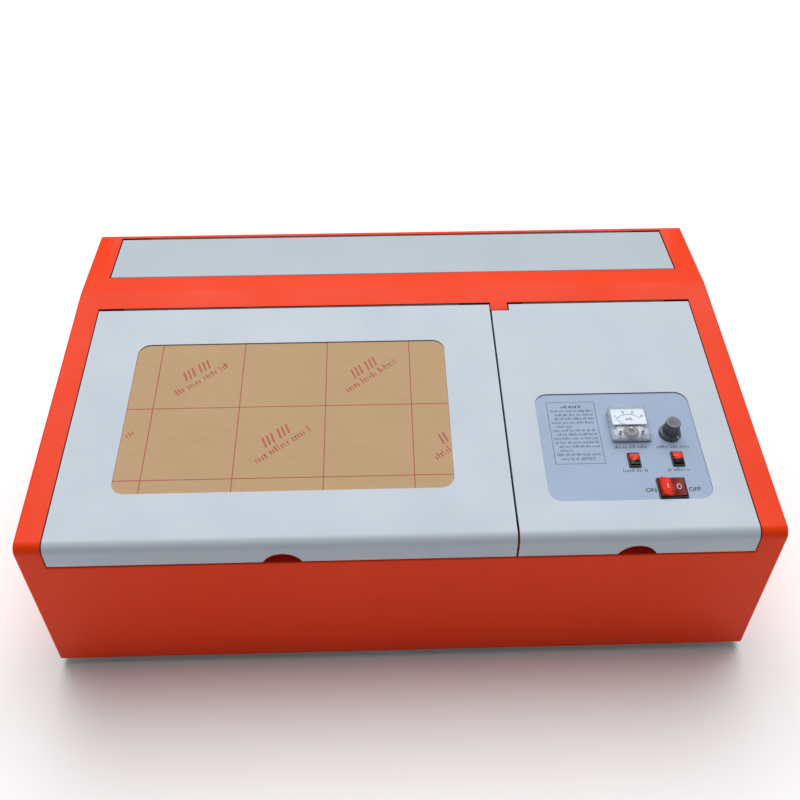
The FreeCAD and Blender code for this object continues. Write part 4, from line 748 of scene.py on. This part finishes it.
def recess_shade_and_screws():
    """A dark lens-shaped mark painted as the shade in the recess of the cover in front of the coil, and
    the dark heads of the two screws.
    """
    cover = Face("meter_cover")
    low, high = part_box("meter_cover")
    x = (low.x + high.x) / 2
    matrix = cover.frame_at(x, cover.origin.y - RECESS_SHADE_AHEAD * MM)
    marks = Marks()
    half, depth = RECESS_SHADE_HALF * MM, RECESS_SHADE_DEPTH * MM
    # painted shade: a dark lens that fills the recess's outline
    for k in range(RECESS_SHADE_STEPS):
        a0, a1 = (-half + 2 * half * i / RECESS_SHADE_STEPS for i in (k, k + 1))
        d0, d1 = (depth * (1 - (a / half) ** 2) for a in (a0, a1))
        marks.quad([(a0, -d0), (a1, -d1), (a1, 0), (a0, 0)], matrix)
    marks.piece("recess_painted_shade", PRINT_AND_SHADE_INK, "control_lid")
    coil = Face("meter_coil")
    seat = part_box("meter_coil")
    heads = Marks()
    for side in (-1, 1):
        y = (seat[0].y + seat[1].y) / 2 - SCREW_AHEAD * MM
        spot = coil.frame_at(x + side * SCREW_ASIDE * MM, y)
        spot.translation += cover.normal * SCREW_LIFT * MM
        heads.disc(SCREW_RADIUS * MM, spot, SCREW_STEPS)
    heads.piece("screw_faces", PRINT_AND_SHADE_INK, "control_lid")


# ---- knob and main switch ----
KNOB_H, SKIRT_H, SKIRT_R, SKIRT_TOP_R = 20 * MM, 3.4 * MM, 12.5 * MM, 11.3 * MM
INLAY = moulded("knob_inlay_plastic", (0.075, 0.085, 0.105), 0.45, 0.02).material
INLAY_R = 6.4 * MM
POINTER_TURN = math.radians(-52)         # from straight right, anticlockwise
POINTER_IN, POINTER_FOOT, POINTER_HALF = 1.6 * MM, 0.2 * MM, 0.7 * MM
LOOKS_UP, SAME_PLANE = 0.6, 0.999        # least z, and least agreement, of the rocker's face normals
ROCKER_LIFT = 0.06 * MM
O_RADIUS, O_LINE, O_NARROWING = 3.0 * MM, 0.75 * MM, 0.72
I_HALF_WIDTH, I_HALF_HEIGHT = 0.4 * MM, 2.8 * MM


def knob_marks():
    """White pointer on the skirt, toward the lower right, and a lighter inlay on the knob's top."""
    face = Face("current_knob")
    top = face.frame_at(face.origin.x, face.origin.y)
    axis = knob_centre(face)
    top.translation = axis + face.normal * face.lift
    marks = Marks()
    marks.disc(INLAY_R, top)
    marks.piece("knob_inlay", INLAY, "knob")
    pointer = Marks()
    direction = face.right * math.cos(POINTER_TURN) + face.ahead * math.sin(POINTER_TURN)
    across = face.normal.cross(direction)
    foot = axis - face.normal * KNOB_H
    over = face.normal * (SKIRT_H + face.lift)
    inner = foot + direction * (SKIRT_TOP_R - POINTER_IN) + over
    middle = foot + direction * (SKIRT_TOP_R + face.lift) + over
    outer = foot + direction * (SKIRT_R + face.lift) + face.normal * POINTER_FOOT
    half = across * POINTER_HALF
    pointer.points = [inner - half, middle - half, outer - half, outer + half, middle + half, inner + half]
    pointer.faces = [(0, 1, 4, 5), (1, 2, 3, 4)]
    pointer.piece("knob_pointer", WHITE_INK, "knob")


def knob_centre(face):
    """Centre of the knob's flat top."""
    mesh = frame["nodes"]["current_knob"].data
    heights = [v.co.dot(face.normal) for v in mesh.vertices]
    level = max(heights)
    rim = [v.co for v, h in zip(mesh.vertices, heights) if h > level - 0.01 * MM]
    return sum(rim, Vector()) / len(rim)


def rocker_marks():
    """The O on the pressed half of the main switch and the I on the raised half."""
    mesh = frame["nodes"]["main_rocker"].data
    low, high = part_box("main_rocker")
    middle = (low.x + high.x) / 2
    for name, side in (("rocker_mark_off", 1), ("rocker_mark_on", -1)):
        faces = [p for p in mesh.polygons if p.normal.z > LOOKS_UP and (p.center.x - middle) * side > 0]
        largest = max(faces, key=lambda p: p.area)
        normal = largest.normal.copy()
        ahead = normal.cross(Vector((1, 0, 0))).normalized()
        right = ahead.cross(normal).normalized()
        level = [p for p in faces if p.normal.dot(normal) > SAME_PLANE]
        corners = [mesh.vertices[i].co for p in level for i in p.vertices]
        centre = sum(corners, Vector()) / len(corners)
        matrix = Matrix((right, ahead, normal)).transposed().to_4x4()
        matrix.translation = centre + normal * ROCKER_LIFT
        marks = Marks()
        if side > 0:
            oval = matrix @ Matrix.Scale(O_NARROWING, 4, (1, 0, 0))
            marks.arc(O_RADIUS, O_LINE, 0, 2 * math.pi, oval)
        else:
            marks.bar(-I_HALF_WIDTH, I_HALF_WIDTH, -I_HALF_HEIGHT, I_HALF_HEIGHT, matrix)
        marks.piece(name, WHITE_INK, "main_switch")


# ---- floor, light and camera ----
CAMERA_AT = Vector((-0.0208, -0.8455, 0.9728))
CAMERA_AIM = Vector((0.0040, 0.0310, 0.150))
CAMERA_LENS, SENSOR_WIDTH = 41.9, 36     # mm
CAMERA_REACH = 60                        # m
FLOOR_SIZE = 400                         # m
SKY_COLOUR, SKY_STRENGTH = (0.95, 0.975, 1.0, 1), 0.16


def see_through_from_below(surface):
    """Leaves the floor solid from above and open from below, so that the underside can be looked at."""
    geometry = surface.add("ShaderNodeNewGeometry")
    surface.vary("Alpha", surface.maths("SUBTRACT", 1.0, geometry.outputs["Backfacing"]))


def studio():
    """Pale floor and sky, one broad light from above and behind, and a weak softbox."""
    bpy.ops.mesh.primitive_plane_add(size=FLOOR_SIZE, location=(0, 0, 0))
    floor = bpy.context.object
    floor.name = "floor"
    s = Surface("floor", (0.95, 0.95, 0.95), 0.8, Specular_IOR_Level=0.2)
    s.tint(s.spread(s.noise(1.5, 3), 0, 0.3), (0.93, 0.93, 0.935))
    see_through_from_below(s)
    floor.data.materials.append(s.material)
    world = bpy.data.worlds.new("studio")
    bpy.context.scene.world = world
    world.use_nodes = True
    background = world.node_tree.nodes["Background"]
    background.inputs["Color"].default_value = SKY_COLOUR
    background.inputs["Strength"].default_value = SKY_STRENGTH
    sun("sky_dome", direction=(0.05, 0.46, 1.0), strength=3.1, spread=math.radians(60))
    area_light("softbox", at=(-0.9, 1.5, 1.9), aim=(0.0, 0.0, 0.1), size=1.4, power=6)


def sun(name, direction, strength, spread):
    """Wide, even light over the whole floor."""
    data = bpy.data.lights.new(name, "SUN")
    data.energy = strength
    data.angle = spread
    light = bpy.data.objects.new(name, data)
    light.rotation_euler = Vector(direction).to_track_quat("Z", "Y").to_euler()
    bpy.context.scene.collection.objects.link(light)


def area_light(name, at, aim, size, power):
    data = bpy.data.lights.new(name, "AREA")
    data.size = size
    data.energy = power
    light = bpy.data.objects.new(name, data)
    light.location = at
    light.rotation_euler = (Vector(aim) - Vector(at)).to_track_quat("-Z", "Y").to_euler()
    bpy.context.scene.collection.objects.link(light)


def camera():
    """From straight ahead and well above, as in the photograph."""
    data = bpy.data.cameras.new("camera")
    data.lens = CAMERA_LENS
    data.sensor_width = SENSOR_WIDTH
    data.clip_end = CAMERA_REACH
    view = bpy.data.objects.new("camera", data)
    view.location = CAMERA_AT
    view.rotation_euler = (CAMERA_AIM - CAMERA_AT).to_track_quat("-Z", "Y").to_euler()
    bpy.context.scene.collection.objects.link(view)
    bpy.context.scene.camera = view


dress_nodes()
paper_print()
panel_print()
meter_print()
recess_shade_and_screws()
knob_marks()
rocker_marks()
studio()
camera()
bpy.context.scene.view_settings.view_transform = "Standard"
